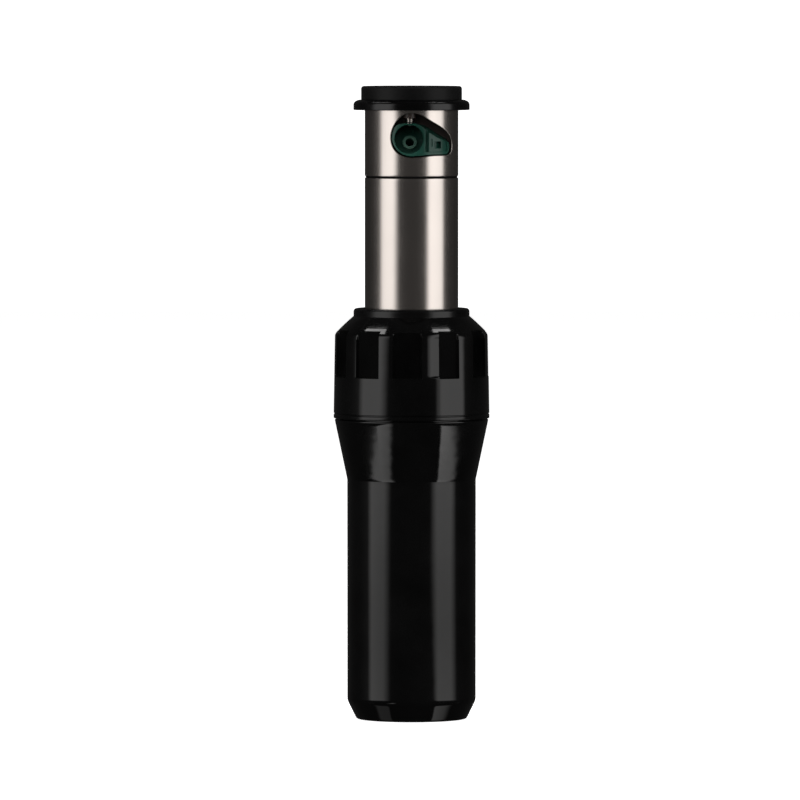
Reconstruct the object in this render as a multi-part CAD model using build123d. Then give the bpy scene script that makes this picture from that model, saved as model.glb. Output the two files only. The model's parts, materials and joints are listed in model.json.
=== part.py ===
from build123d import *
import math
import os

# Pop-up rotor sprinkler, 1 inch inlet, 4 inch class, shown with its riser up.
# Millimetres. Z = 0 is the bottom face of the case, the riser axis is Z,
# and the nozzle looks towards -Y.  +X is to the right of the nozzle.

# ------------------------------------------------------------ driving sizes
STROKE = 99.4            # riser travel, cap top to cover flange less 0.3

# case
BASE_R = 27.7            # bottom face
CASE_R = 32.35           # straight lower barrel
CHAMFER_Z = 9.3          # height of the base chamfer
TAPER_Z0 = 120.7         # start of the flare to the cap
SHOULDER_R = 38.75       # flare radius under the cap
SHOULDER_Z = 151.2
NECK_R = 34.5            # threaded neck under the cap
NECK_TOP = 190.0
CAVITY_R = 29.3          # inside of the case
CAVITY_TOP_R = 32.6      # inside of the case behind the neck
RIB_R = 28.3             # tips of the guide ribs inside the case
SEAT_Z = 22.0            # check valve seat

# inlet, G1 female thread drawn as rings
THREAD_CREST_R = 15.15
THREAD_ROOT_R = 16.4
THREAD_PITCH = 2.309
THREAD_LEN = 18.5

# cap
CAP_BOTTOM = 151.6
CAP_TOP = 206.8
CAP_RING_R = 29.15       # raised ring round the riser
CAP_HOLE_R = 25.4
CAP_SIDE_R0 = 39.2       # at the bottom edge
CAP_SIDE_R1 = 38.52      # at the shoulder
N_POCKETS = 11
POCKET_CENTRE = -2.7     # degrees from -Y towards +X
POCKET_HALF = 9.6        # degrees
POCKET_DEPTH = 1.9
POCKET_Z0 = 172.6
POCKET_Z1 = 199.0

# riser
SLEEVE_R = 23.5          # steel sleeves of riser and turret
SLEEVE_T = 0.5
TUBE_R = 22.9
TUBE_RI = 20.6
RISER_TOP = 272.4
FLANGE_R = 28.0

# turret
TURRET_BOTTOM = 273.4
SLEEVE_TOP = 309.0
COVER_FLANGE_Z = 306.5
COVER_FLANGE_TOP = 311.6
COVER_FLANGE_R = 29.2
COVER_TOP = 318.5
COVER_R = 25.35
HOUSING_R = 22.9
STEM_R = 11.9
STEM_RI = 9.5
OPEN_Z = 293.1           # centre height of the nozzle opening
NOZ_X = -0.9             # nozzle bore, off centre in the opening
NOZ_Z = 291.4
NOZ_TILT = 25.0          # degrees above level

# gears
M1 = 0.5                 # planetary module
SUN_N, PLANET_N, RING_N = 12, 18, 48
PA1 = 20.0
M2 = 0.6                 # arc adjustment module
ARC_N, ARC_PINION_N = 50, 10
PA2 = 25.0
STAGE_Z0 = 194.5
STAGE_PITCH = 7.2
PLANET_H = 4.0
BACKLASH = 0.09

os.makedirs("parts", exist_ok=True)


# ------------------------------------------------------------------ helpers
def cyl(r, z0, z1, x=0.0, y=0.0):
    return Pos(x, y, (z0 + z1) / 2) * Cylinder(r, z1 - z0)


def tube(ro, ri, z0, z1, x=0.0, y=0.0):
    return cyl(ro, z0, z1, x, y) - cyl(ri, z0 - 1, z1 + 1, x, y)


def box(x0, x1, y0, y1, z0, z1):
    return Pos((x0 + x1) / 2, (y0 + y1) / 2, (z0 + z1) / 2) * Box(x1 - x0, y1 - y0, z1 - z0)


def rounded_face(pts, plane):
    """Closed outline with an optional corner radius as third value."""
    n = len(pts)
    P = [Vector(p[0], p[1], 0) for p in pts]
    R = [p[2] if len(p) > 2 else 0.0 for p in pts]
    A, B, M = [], [], []
    for i in range(n):
        if R[i] <= 0:
            A.append(P[i]); B.append(P[i]); M.append(None)
            continue
        u = (P[i - 1] - P[i]).normalized()
        v = (P[(i + 1) % n] - P[i]).normalized()
        ang = math.acos(max(-1.0, min(1.0, u.dot(v))))
        t = R[i] / math.tan(ang / 2)
        c = P[i] + (u + v).normalized() * (R[i] / math.sin(ang / 2))
        A.append(P[i] + u * t)
        B.append(P[i] + v * t)
        M.append(c + (P[i] - c).normalized() * R[i])
    edges = []
    for i in range(n):
        if M[i] is not None:
            edges.append(ThreePointArc(plane.from_local_coords(A[i]), plane.from_local_coords(M[i]), plane.from_local_coords(B[i])))
        a, b = B[i], A[(i + 1) % n]
        if (a - b).length > 1e-5:
            edges.append(Line(plane.from_local_coords(a), plane.from_local_coords(b)))
    return make_face(Wire(edges))


RZ = Plane(origin=(0, 0, 0), x_dir=(1, 0, 0), z_dir=(0, -1, 0))   # local x = r, local y = z


def rev(pts):
    return revolve(rounded_face(pts, RZ), Axis.Z)


def polygon(pts, z0, z1):
    w = Polyline(*[(p[0], p[1], z0) for p in pts], close=True)
    return extrude(make_face(w), amount=z1 - z0, dir=(0, 0, 1))


def around(solid, angles):
    return [Rot(0, 0, a) * solid for a in angles]


def gear_points(n, m, pa, add, ded, shift=0.0, phase=0.0):
    """Straight flanked outline through three points of the involute.
    shift > 0 thins the teeth; phase is the angle of a tooth centre, radians."""
    rp = n * m / 2
    ra, rr = rp + add, rp - ded
    rb = rp * math.cos(math.radians(pa))

    def half(r):
        r = max(r, rb)
        inv = lambda a: math.tan(a) - a
        a = math.acos(min(1.0, rb / r))
        return math.pi / (2 * n) + inv(math.radians(pa)) - inv(a) - shift / rp

    r1 = max(rb, rr)
    pts = []
    for k in range(n):
        c = phase + 2 * math.pi * k / n
        for r, s in ((rr, -1), (r1 if r1 > rr + 0.05 else (rr + rp) / 2, -1), (rp, -1), (ra, -1), (ra, 1), (rp, 1), (r1 if r1 > rr + 0.05 else (rr + rp) / 2, 1), (rr, 1)):
            h = half(r) * s
            pts.append((r * math.cos(c + h), r * math.sin(c + h)))
    return pts


def ring_points(n, m, pa, add, ded, shift=0.0, phase=0.0):
    """Outline of the hole of an internal gear; a tooth points in at phase."""
    rp = n * m / 2
    ra, rr = rp - add, rp + ded
    rb = rp * math.cos(math.radians(pa))

    def half_space(r):
        inv = lambda a: math.tan(a) - a
        a = math.acos(min(1.0, rb / r))
        return math.pi / (2 * n) + inv(math.radians(pa)) - inv(a) + shift / rp

    pts = []
    for k in range(n):
        c = phase + math.pi / n + 2 * math.pi * k / n        # centre of a space
        for r, s in ((ra, -1), (rp, -1), (rr, -1), (rr, 1), (rp, 1), (ra, 1)):
            h = half_space(r) * s
            pts.append((r * math.cos(c + h), r * math.sin(c + h)))
    return pts


def save(name, shape, colour=None):
    """Write one node.  A list is a group of separate solids."""
    solids = []
    for s in (shape if isinstance(shape, (list, tuple)) else [shape]):
        solids += list(s.solids())
    out = solids[0] if len(solids) == 1 else Compound(children=[Solid(s.wrapped) for s in solids])
    out.label = name
    export_step(out, "parts/" + name + ".step")
    return out


def front(deg, r):
    """Point at an angle from -Y towards +X."""
    return (r * math.sin(math.radians(deg)), -r * math.cos(math.radians(deg)))


# --------------------------------------------------------------------- case
case_outer = rev([(0, 0), (BASE_R, 0, 0.6), (CASE_R, CHAMFER_Z, 7), (CASE_R, TAPER_Z0, 7),
                  (SHOULDER_R, SHOULDER_Z, 0.7), (NECK_R, SHOULDER_Z), (NECK_R, NECK_TOP, 0.5), (0, NECK_TOP)])
case_cavity = rev([(0, 20), (CAVITY_R, 20, 1.5), (CAVITY_R, 127), (CAVITY_TOP_R, 146), (CAVITY_TOP_R, 191), (0, 191)])
case_body = case_outer - case_cavity - cyl(13.0, -1, 23)
# seat of the check valve, raised from the floor
case_body = case_body + tube(15.2, 13.0, 19.5, SEAT_Z)
# inlet thread
thread_pts = [(0, -0.5), (THREAD_ROOT_R + 0.6, -0.5), (THREAD_ROOT_R + 0.6, 0.0), (THREAD_CREST_R, 1.4)]
z = 1.4
while z + THREAD_PITCH < THREAD_LEN:
    thread_pts += [(THREAD_CREST_R, z + 0.9), (THREAD_ROOT_R, z + 1.5), (THREAD_ROOT_R, z + 1.7), (THREAD_CREST_R, z + THREAD_PITCH)]
    z += THREAD_PITCH
thread_pts += [(THREAD_CREST_R, THREAD_LEN), (0, THREAD_LEN)]
case_body = case_body - rev(thread_pts)
# ribbed recess round the inlet boss
recess = tube(24.4, 21.0, -1, 14.5)
for a in range(8):
    recess = recess - Rot(0, 0, 22.5 + a * 45) * box(15, 30, -1.1, 1.1, -2, 15)
case_body = case_body - recess
# guide ribs that keep the ratchet ring from turning
rib = box(RIB_R, CAVITY_TOP_R + 0.6, -1.5, 1.5, 24, 176) & rev([(0, 20), (CAVITY_R + 0.6, 20), (CAVITY_R + 0.6, 127), (CAVITY_TOP_R + 0.6, 146), (CAVITY_TOP_R + 0.6, 191), (0, 191)])
for r in around(rib, (45, 135, 225, 315)):
    case_body = case_body + r
# thread ridges on the neck
for i in range(5):
    z = 158 + 5 * i
    case_body = case_body + rev([(NECK_R - 0.4, z - 1.1), (NECK_R, z - 1.0), (NECK_R + 1.05, z - 0.45), (NECK_R + 1.05, z + 0.45), (NECK_R, z + 1.0), (NECK_R - 0.4, z + 1.1)])
save("case_body", case_body)

# ---------------------------------------------------------------------- cap
cap = rev([(CAP_HOLE_R, 196.4), (CAP_HOLE_R, CAP_TOP, 0.5), (CAP_RING_R, CAP_TOP, 1.5), (CAP_RING_R, 202.7, 0.6),
           (CAP_SIDE_R1, 193.95, 3.2), (CAP_SIDE_R0 - 0.02, 154.3), (CAP_SIDE_R0 - 0.35, 154.0), (CAP_SIDE_R0 - 0.35, 153.7),
           (CAP_SIDE_R0, 153.3, 0.3), (CAP_SIDE_R0, CAP_BOTTOM, 0.4), (36.0, CAP_BOTTOM), (36.0, 190.2), (35.4, 192.9), (31.5, 196.4)])
for i in range(5):
    z = 160.5 + 5 * i
    cap = cap + rev([(36.4, z - 1.1), (36.0, z - 1.0), (34.85, z - 0.45), (34.85, z + 0.45), (36.0, z + 1.0), (36.4, z + 1.1)])
# finger pockets round the side: flat floored, with drafted side walls
pocket_x = CAP_SIDE_R1 * math.sin(math.radians(POCKET_HALF))
pocket_y0 = CAP_SIDE_R1 - POCKET_DEPTH
pocket_prof = rounded_face([(-pocket_x + 0.5, pocket_y0, 0.5), (pocket_x - 0.5, pocket_y0, 0.5), (pocket_x + 0.6, pocket_y0 + 3.2), (-pocket_x - 0.6, pocket_y0 + 3.2)], Plane.XY)
pocket = Pos(0, 0, POCKET_Z0) * extrude(pocket_prof, amount=POCKET_Z1 - POCKET_Z0)
pocket = fillet(pocket.edges().filter_by(Axis.X).sort_by(Axis.Y)[:2], 0.45)
pockets = []
for i in range(N_POCKETS):
    a = POCKET_CENTRE + i * 360 / N_POCKETS
    pockets.append(Rot(0, 0, a - 180) * pocket)
cap = cap - pockets
save("body_cap", cap)

save("cap_o_ring", Pos(0, 0, 191.35) * Torus(34.0, 1.15))

# wiper seal: flanged, with a thin lip that wipes the riser
save("wiper_seal", rev([(24.9, 193.7), (31.0, 193.7, 0.4), (31.0, 196.3, 0.4), (25.3, 196.3), (25.3, 205.9, 0.5), (24.5, 205.9, 0.4), (23.58, 204.6, 0.1), (23.58, 203.0), (24.9, 201.4)]))
save("seal_retainer", rev([(24.2, 190.4), (32.4, 190.4, 0.4), (32.4, 193.5, 0.4), (24.2, 193.5)]))

# retraction spring, squeezed between the ratchet ring and the retainer
SPRING_R, SPRING_WIRE = 26.4, 1.6
SPRING_Z0, SPRING_Z1 = 173.3, 190.3
helix = Helix(pitch=(SPRING_Z1 - SPRING_Z0 - SPRING_WIRE - 0.1) / 6.0, height=SPRING_Z1 - SPRING_Z0 - SPRING_WIRE - 0.1, radius=SPRING_R)
wire_face = Plane(origin=helix @ 0, z_dir=helix % 0) * Circle(SPRING_WIRE / 2)
spring = Pos(0, 0, SPRING_Z0 + SPRING_WIRE / 2 + 0.05) * sweep(wire_face, path=helix, is_frenet=True)
save("retraction_spring", spring)

# ------------------------------------------------------------- ratchet ring
RATCHET_Z0, RATCHET_Z1 = 170.2, 173.1
ratchet = tube(28.9, 23.9, RATCHET_Z0 + 0.8, RATCHET_Z1)
for a in (45, 135, 225, 315):
    ratchet = ratchet - Rot(0, 0, a) * box(27.9, 30, -1.85, 1.85, 165, 180)
for a in (0, 90, 180, 270):
    pawl = Rot(0, 0, a) * (tube(27.6, 25.4, RATCHET_Z0 + 0.3, RATCHET_Z0 + 0.9) & box(20, 30, -2.0, 2.0, 165, 180))
    ratchet = ratchet + pawl
save("ratchet_ring", ratchet)

# -------------------------------------------------------------------- riser
COLLAR_Z = 253.0
COLLAR_RI = 13.0
riser_tube = rev([(TUBE_RI, 158.0), (FLANGE_R, 158.0, 0.6), (FLANGE_R, 169.6, 0.6), (TUBE_R, 169.6),
                  (TUBE_R, RISER_TOP - 0.4, 0.3), (COLLAR_RI, RISER_TOP - 0.4, 0.3), (COLLAR_RI, COLLAR_Z, 0.3), (TUBE_RI, COLLAR_Z)])
# relief grooves round the base flange and the ratchet teeth on top of it
riser_tube = riser_tube - tube(30, 26.4, 161.2, 163.4) - tube(30, 26.4, 165.2, 167.2)
tooth = extrude(make_face(Polyline((25.6, -1.1, 169.4), (25.6, 1.1, 169.4), (25.6, 1.1, 169.6), (25.6, -0.7, 170.2), (25.6, -1.1, 169.6), close=True)), amount=1.7, dir=(1, 0, 0))
for r in around(tooth, [k * 10 + 5 for k in range(36)]):
    riser_tube = riser_tube + r
save("riser_tube", riser_tube)
save("riser_sleeve", rev([(SLEEVE_R - SLEEVE_T, 170.6), (SLEEVE_R, 170.6), (SLEEVE_R, RISER_TOP, 0.22), (SLEEVE_R - SLEEVE_T, RISER_TOP)]))

# filter screen hung under the riser
screen = rev([(15.9, 122.9), (18.1, 122.9, 0.4), (18.1, 157.7, 0.3), (19.9, 157.7, 0.3), (20.35, 158.4), (20.35, 164.6, 0.4), (18.8, 164.6), (18.8, 159.3), (16.5, 158.0), (16.5, 124.9), (9.0, 124.9), (9.0, 122.9)])
slot_cut = None
for k in range(10):
    for (z0, z1) in ((127.5, 140.3), (142.3, 155.3)):
        b = Rot(0, 0, k * 18) * box(-25, 25, -0.95, 0.95, z0, z1)
        slot_cut = b if slot_cut is None else slot_cut + b
slot_cut = slot_cut - cyl(12.0, 100, 170)
screen = screen - slot_cut
save("filter_screen", screen)
save("check_valve_seal", tube(15.6, 3.1, 121.7, 122.8))
# plug that holds the seal to the screen's bottom, with snap feet inside it
plug = cyl(6.0, 120.2, 121.6) + cyl(3.0, 121.0, 127.0)
plug = plug + (tube(9.6, 2.8, 125.0, 126.6) & (box(-12, 12, -2.4, 2.4, 120, 130) + box(-2.4, 2.4, -12, 12, 120, 130)))
save("check_valve_plug", plug)

# stator plate: two slanted jets, a bypass hole and a hole for the trip rod
TRIP_X = 18.3
BYPASS_X = -15.6
STATOR_Z0, STATOR_Z1 = 176.0, 178.0
stator = cyl(20.45, STATOR_Z0, STATOR_Z1)
PORT_R = 9.2
PORTS = [front(90 - 30, PORT_R), front(90 + 30, PORT_R)]
for (px, py) in PORTS:
    stator = stator - cyl(1.9, STATOR_Z0 - 1, STATOR_Z1 + 1, px, py)
stator = stator - cyl(2.6, STATOR_Z0 - 1, STATOR_Z1 + 1, BYPASS_X, 0)
stator = stator - cyl(1.06, STATOR_Z0 - 1, STATOR_Z1 + 1, TRIP_X, 0)
stator = stator + (tube(20.45, 19.2, STATOR_Z1 - 0.2, 189.9) - box(13, 22, -5.2, 5.2, 177, 191) - box(-22, -13, -5.2, 5.2, 177, 191))
# seat for the turbine's lower pivot
stator = stator + cyl(2.4, STATOR_Z1 - 0.2, STATOR_Z1 + 1.0) - cyl(0.86, STATOR_Z0 + 0.8, STATOR_Z1 + 2)
save("stator_plate", stator)

# bypass valve: poppet over the hole in the stator plate
save("bypass_poppet", cyl(3.3, STATOR_Z1 + 0.05, STATOR_Z1 + 1.15, BYPASS_X, 0) + cyl(1.2, STATOR_Z1 + 1.0, 184.6, BYPASS_X, 0))
bz0, bz1 = STATOR_Z1 + 1.25, 189.85
bh = Helix(pitch=(bz1 - bz0 - 0.7) / 6, height=bz1 - bz0 - 0.7, radius=2.2)
bs = Pos(BYPASS_X, 0, bz0 + 0.35) * sweep(Plane(origin=bh @ 0, z_dir=bh % 0) * Circle(0.3), path=bh, is_frenet=True)
save("bypass_spring", bs)

# ------------------------------------------------------------------ gearbox
HOUSING_Z0, HOUSING_Z1 = 190.0, 193.0
N_STAGES = 3
GB_TOP = STAGE_Z0 + STAGE_PITCH * N_STAGES          # 216.1
gearbox = cyl(20.4, HOUSING_Z0, HOUSING_Z1) + cyl(14.5, HOUSING_Z1 - 0.2, GB_TOP)
gearbox = gearbox - polygon(ring_points(RING_N, M1, PA1, 0.4, 0.55, BACKLASH / 2), HOUSING_Z1, GB_TOP + 1)
gearbox = gearbox - cyl(1.56, HOUSING_Z0 - 1, HOUSING_Z1 + 1)
for k in range(8):
    if k in (0, 4):
        continue
    sector = (tube(19.0, 15.6, HOUSING_Z0 - 1, HOUSING_Z1 + 1) & Rot(0, 0, k * 45) * Pos(17.3, 0, 191.5) * Box(8, 8.6, 6))
    gearbox = gearbox - sector
gearbox = gearbox - cyl(1.06, HOUSING_Z0 - 1, HOUSING_Z1 + 1, TRIP_X, 0)
gearbox = gearbox - cyl(1.5, HOUSING_Z0 - 1, HOUSING_Z1 - 1, BYPASS_X, 0)
save("gearbox_housing", gearbox)
lid = cyl(14.5, GB_TOP + 0.1, GB_TOP + 2.6) + cyl(5.2, GB_TOP + 2.5, GB_TOP + 6.0) - cyl(3.06, GB_TOP - 1, GB_TOP + 8)
save("gearbox_lid", lid)

# turbine wheel with the first sun on its shaft
turbine = cyl(3.0, 179.2, 186.2) + cyl(1.5, 186.0, STAGE_Z0 - 0.7) + cyl(0.8, 177.2, 179.4)
turbine = turbine + (cyl(11.6, 181.6, 183.0))
blade = extrude(make_face(Polyline((4.5, -0.9, 179.4), (4.5, 0.1, 179.4), (4.5, 1.3, 186.0), (4.5, 0.3, 186.0), close=True)), amount=7.0, dir=(1, 0, 0))
for b in around(blade, [k * 30 for k in range(12)]):
    turbine = turbine + b
turbine = turbine - (tube(16, 11.8, 178, 188))
sun = polygon(gear_points(SUN_N, M1, PA1, 0.4, 0.5, BACKLASH / 2), STAGE_Z0 - 0.9, STAGE_Z0 + PLANET_H - 0.1)
turbine = turbine + sun
save("turbine", turbine)

CENTRE = (SUN_N + PLANET_N) * M1 / 2
PIN_R, PIN_HOLE = 1.0, 1.06


def carrier(stage):
    z0 = STAGE_Z0 + STAGE_PITCH * (stage - 1)
    plate_z = z0 + PLANET_H + 0.3
    c = cyl(10.4, plate_z, plate_z + 1.8)
    for a in (0, 120, 240):
        p = Rot(0, 0, a) * cyl(PIN_R, z0 + 0.3, plate_z + 0.5, CENTRE, 0)
        c = c + p
    # lightening windows between the pins
    for a in (60, 180, 300):
        c = c - Rot(0, 0, a) * cyl(2.2, plate_z - 1, plate_z + 3, 6.8, 0)
    return c, plate_z + 1.8


for stage in (1, 2):
    c, ztop = carrier(stage)
    zn = STAGE_Z0 + STAGE_PITCH * stage
    c = c + polygon(gear_points(SUN_N, M1, PA1, 0.4, 0.5, BACKLASH / 2), ztop - 0.1, zn + PLANET_H - 0.1)
    save("carrier_%d" % stage, c)

planet_2d = gear_points(PLANET_N, M1, PA1, 0.4, 0.5, BACKLASH / 2, phase=math.pi / PLANET_N)
for stage in (1, 2, 3):
    z0 = STAGE_Z0 + STAGE_PITCH * (stage - 1)
    planet = polygon(planet_2d, z0, z0 + PLANET_H) - cyl(PIN_HOLE, z0 - 1, z0 + PLANET_H + 1)
    for i, a in enumerate((0, 120, 240)):
        save("planet_%d%s" % (stage, "abc"[i]), Rot(0, 0, a) * Pos(CENTRE, 0, 0) * planet)

# output carrier, its shaft and the spider that turns the turret's stem
STEM_Z0 = 243.6
out, ztop = carrier(3)
out = out + cyl(3.0, ztop - 0.1, 247.0)
out = out + tube(10.75, 9.0, STEM_Z0 + 0.4, 246.9)
for a in (0, 120, 240):
    out = out + Rot(0, 0, a) * box(2.5, 9.4, -1.0, 1.0, STEM_Z0 + 0.4, 246.9)
save("output_carrier", out)

# ---------------------------------------------------------------- trip lever
trip = cyl(1.0, 173.0, 252.6, TRIP_X, 0)
finger = cyl(1.75, 247.4, 252.3) + box(-1.95, 0, -0.7, 0.7, 247.4, 252.3)
trip = trip + Pos(TRIP_X, 0, 0) * (Rot(0, 0, 24) * finger)
save("trip_rod", trip)
# flipper plate that covers one jet or the other
PORT_A = math.degrees(math.atan2(PORTS[0][1], PORTS[0][0] - TRIP_X))      # direction of the covered jet from the rod
flip = cyl(1.85, 173.4, 175.7, TRIP_X, 0)
arm_len = math.hypot(PORTS[0][0] - TRIP_X, PORTS[0][1])
arm = box(0, arm_len, -1.1, 1.1, 173.4, 175.7) + cyl(2.5, 173.4, 175.7, arm_len, 0)
flip = flip + Pos(TRIP_X, 0, 0) * (Rot(0, 0, PORT_A) * arm)
flip = flip - cyl(1.02, 170, 180, TRIP_X, 0)
save("port_flipper", flip)

# ------------------------------------------------------- arc setting ring
ARC_Z0, ARC_Z1 = 273.9, 277.7
arc = polygon(gear_points(ARC_N, M2, PA2, 0.48, 0.6, BACKLASH / 2), ARC_Z0, ARC_Z1)
arc = arc + cyl(12.92, 249.4, ARC_Z1)
arc = arc + cyl(15.4, 249.4, 252.5)
arc = arc + (tube(16.05, 12.5, 249.4, 252.5) & (Rot(0, 0, 200) * box(0, 20, -1.6, 1.6, 240, 260)))
arc = arc - cyl(12.0, 240, 280)
save("arc_ring", arc)

ARC_C = (ARC_N + ARC_PINION_N) * M2 / 2             # 18.0
ARC_ANG = 135.0                                      # behind and to the left
ARC_X, ARC_Y = ARC_C * math.cos(math.radians(ARC_ANG)), ARC_C * math.sin(math.radians(ARC_ANG))
# ring tooth phase at the mesh direction decides the pinion's own phase
tooth_angle = 360.0 / ARC_N
off = (ARC_ANG % tooth_angle) / tooth_angle          # fraction of a pitch from a ring tooth to the mesh line
pin_phase = math.radians(ARC_ANG + 180 + (off + 0.5) * 360.0 / ARC_PINION_N)
pinion = polygon(gear_points(ARC_PINION_N, M2, PA2, 0.48, 0.6, BACKLASH / 2, phase=pin_phase), ARC_Z0, ARC_Z1)
pinion = Pos(ARC_X, ARC_Y, 0) * pinion
pinion = pinion + cyl(1.7, ARC_Z1 - 0.1, 312.4, ARC_X, ARC_Y)
head_slot = Pos(ARC_X, ARC_Y, 0) * (Rot(0, 0, 45) * (box(-2, 2, -0.4, 0.4, 310.6, 314)))
save("arc_shaft", pinion - head_slot)

# ------------------------------------------------------------------- turret
# outline of the nozzle opening, seen from the front: round with a lobe to +X
OPENING = [(20.3, -4.4), (20.1, -2.2), (19.4, 0.2), (18.3, 2.1), (16.1, 4.2), (11.6, 7.05), (7.2, 9.65), (4.0, 11.35), (0.4, 12.1), (-3.5, 11.4),
           (-6.1, 9.6), (-8.1, 7.1), (-9.7, 4.2), (-10.6, 0.5), (-10.35, -2.8), (-9.0, -5.8), (-6.7, -8.2), (-3.5, -9.9), (0.0, -10.45), (4.0, -10.2),
           (8.0, -9.65), (13.0, -9.3), (17.2, -9.2), (19.2, -8.55), (20.15, -6.6)]
# outline of the nozzle inside it
NOZZLE_OUT = [(18.85, -4.2), (18.7, -6.9), (17.7, -8.45), (15.5, -8.8), (11.0, -8.85), (7.0, -9.1), (3.0, -9.4), (-0.5, -9.5), (-3.4, -9.0), (-6.1, -7.55),
              (-8.3, -5.2), (-9.6, -2.5), (-10.05, 0.4), (-9.5, 3.2), (-8.2, 5.4), (-6.0, 6.6), (-3.0, 6.85), (2.0, 6.8), (5.45, 6.0), (7.7, 5.0), (10.45, 3.4),
              (12.5, 2.0), (14.7, 0.6), (17.2, -0.9), (18.5, -2.4)]
BOWL_X, BOWL_Z, BOWL_R = -1.28, 292.1, 7.3


def nozzle_face(y):
    pts = [(px, y, OPEN_Z + pz) for (px, pz) in NOZZLE_OUT]
    return make_face(Wire([Spline(*pts), Line(pts[-1], pts[0])]))


def opening_face(offset=0.0, y=0.0):
    cx, cz = 3.5, -0.3
    pts = []
    for (px, pz) in OPENING:
        dx, dz = px - cx, pz - cz
        d = math.hypot(dx, dz)
        k = (d + offset) / d
        pts.append((cx + dx * k, y, OPEN_Z + cz + dz * k))
    return make_face(Wire([Spline(*pts), Line(pts[-1], pts[0])]))


opening = extrude(opening_face(0.0, -30.0), amount=32, dir=(0, 1, 0))
t_sleeve = tube(SLEEVE_R, SLEEVE_R - SLEEVE_T, TURRET_BOTTOM, SLEEVE_TOP) - opening
save("turret_sleeve", t_sleeve)

NOZZLE_Y = -9.0           # back of the nozzle's wide part
d_out = Vector(0, -math.cos(math.radians(NOZ_TILT)), math.sin(math.radians(NOZ_TILT)))
noz_plane = Plane(origin=(NOZ_X, -17.5, NOZ_Z), x_dir=(1, 0, 0), z_dir=d_out)


def along(r, t0, t1, u=0.0, v=0.0):
    """Cylinder along the nozzle's axis between two distances from its face."""
    return noz_plane * (Pos(u, v, (t0 + t1) / 2) * Cylinder(r, t1 - t0))


SCREW_X, SCREW_Y, SCREW_R = -0.95, -19.9, 1.95
SCREW_TIP = 298.7
housing = cyl(HOUSING_R, TURRET_BOTTOM, SLEEVE_TOP) - cyl(16.2, TURRET_BOTTOM - 1, 279.4) - cyl(4.1, TURRET_BOTTOM - 1, 279.4, ARC_X, ARC_Y)
housing = housing + cyl(STEM_R, STEM_Z0, 280.4)
housing = housing - cyl(STEM_RI, STEM_Z0 - 1, 283.8) - cyl(10.8, STEM_Z0 - 1, 247.0)
recess = extrude(opening_face(-0.15, -30.0), amount=30 + NOZZLE_Y, dir=(0, 1, 0))
housing = housing - recess
# boss that guides the screw above the nozzle
housing = housing + (cyl(3.0, 302.7, 307, SCREW_X, SCREW_Y) & cyl(HOUSING_R, 300, 308))
housing = housing - along(6.6, -22.5, 2)
housing = housing - cyl(1.78, 277, 311, ARC_X, ARC_Y)
housing = housing - cyl(SCREW_R + 0.06, 300, 311, SCREW_X, SCREW_Y) - cyl(2.6, 306.4, 311, SCREW_X, SCREW_Y)
# pull-up slot under the cover
housing = housing - box(-1.4, 1.4, 7.0, 15.0, 303.0, 310) - cyl(3.6, 301.0, 304.0, 0, 11.0)
save("nozzle_housing", housing)

# bearing washer between riser and turret; its outer edge closes the gap
save("thrust_washer", rev([(16.6, 272.1), (22.4, 272.1, 0.2), (22.4, 272.55), (23.1, 272.55, 0.15), (23.1, 273.3, 0.15), (16.6, 273.3)]))
save("turret_seal", rev([(14.2, 272.15), (15.9, 272.15, 0.3), (15.9, 273.6, 0.3), (14.2, 273.6)]))
# split ring under the collar; its ear is the fixed end of the arc
clip = rev([(11.95, 247.2), (15.6, 247.2, 0.2), (15.6, 248.9, 0.2), (11.95, 248.9)]) - Rot(0, 0, 60) * box(0, 20, -3.0, 3.0, 240, 260)
clip = clip + (tube(16.05, 13.0, 247.3, 248.8) & (Rot(0, 0, 240) * box(0, 20, -1.6, 1.6, 240, 260)))
save("retaining_clip", clip)

# nozzle: round bowl with the bore in a raised ring on its slanted floor, and a finger lug to the side
prism = extrude(nozzle_face(-30.0), amount=30 + NOZZLE_Y - 0.1, dir=(0, 1, 0))
noz = prism & cyl(22.45, 275, 305)
# upper side of the lug: falls to its end, and rises towards the back
top_line = [(1.9, 299.7), (5.0, 298.3), (7.0, 296.3), (8.45, 294.9), (9.95, 293.8), (12.9, 291.5), (18.0, 288.2), (21.0, 286.0), (21.0, 312), (1.9, 312)]
slope = extrude(make_face(Polyline(*[(px, -24, pz - 0.2) for (px, pz) in top_line], close=True)), amount=24, dir=(0, 0.9701, 0.2425))
noz = noz - slope
# face of the lug, set back inside a low frame
noz = noz - ((box(6.9, 17.6, -30, -5, 285.6, 300)) - cyl(22.0, 270, 310))
# bowl: round from the front, its floor square to the bore
bowl = Pos(BOWL_X, -20, BOWL_Z) * (Rot(90, 0, 0) * Cylinder(BOWL_R, 30))
bowl = bowl & along(30, -3.6, 30)
noz = noz - bowl
noz = noz + (along(3.62, -4.6, -1.9) & prism)
noz = noz + along(6.45, -15.5, -4.6)
noz = noz - along(2.15, -30, 10) - along(5.0, -30, -8.2)
# slot beside the bowl, narrow groove and square window in the lug
noz = noz - box(7.1, 8.5, -30, -19.0, 285.6, 300) - (box(9.7, 10.4, -30, -5, 288.3, 292.1) - cyl(21.6, 270, 310))
noz = noz - (box(11.6, 14.7, -30, -5, 287.5, 290.8) - cyl(19.9, 270, 310))
noz = noz - cyl(SCREW_R + 0.2, 291.5, 310, SCREW_X, SCREW_Y)
noz = noz - cyl(STEM_RI + 0.01, 270, 283.6)
solids = noz.solids().sort_by(SortBy.VOLUME)
noz = solids[-1]
save("nozzle", noz)

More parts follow.
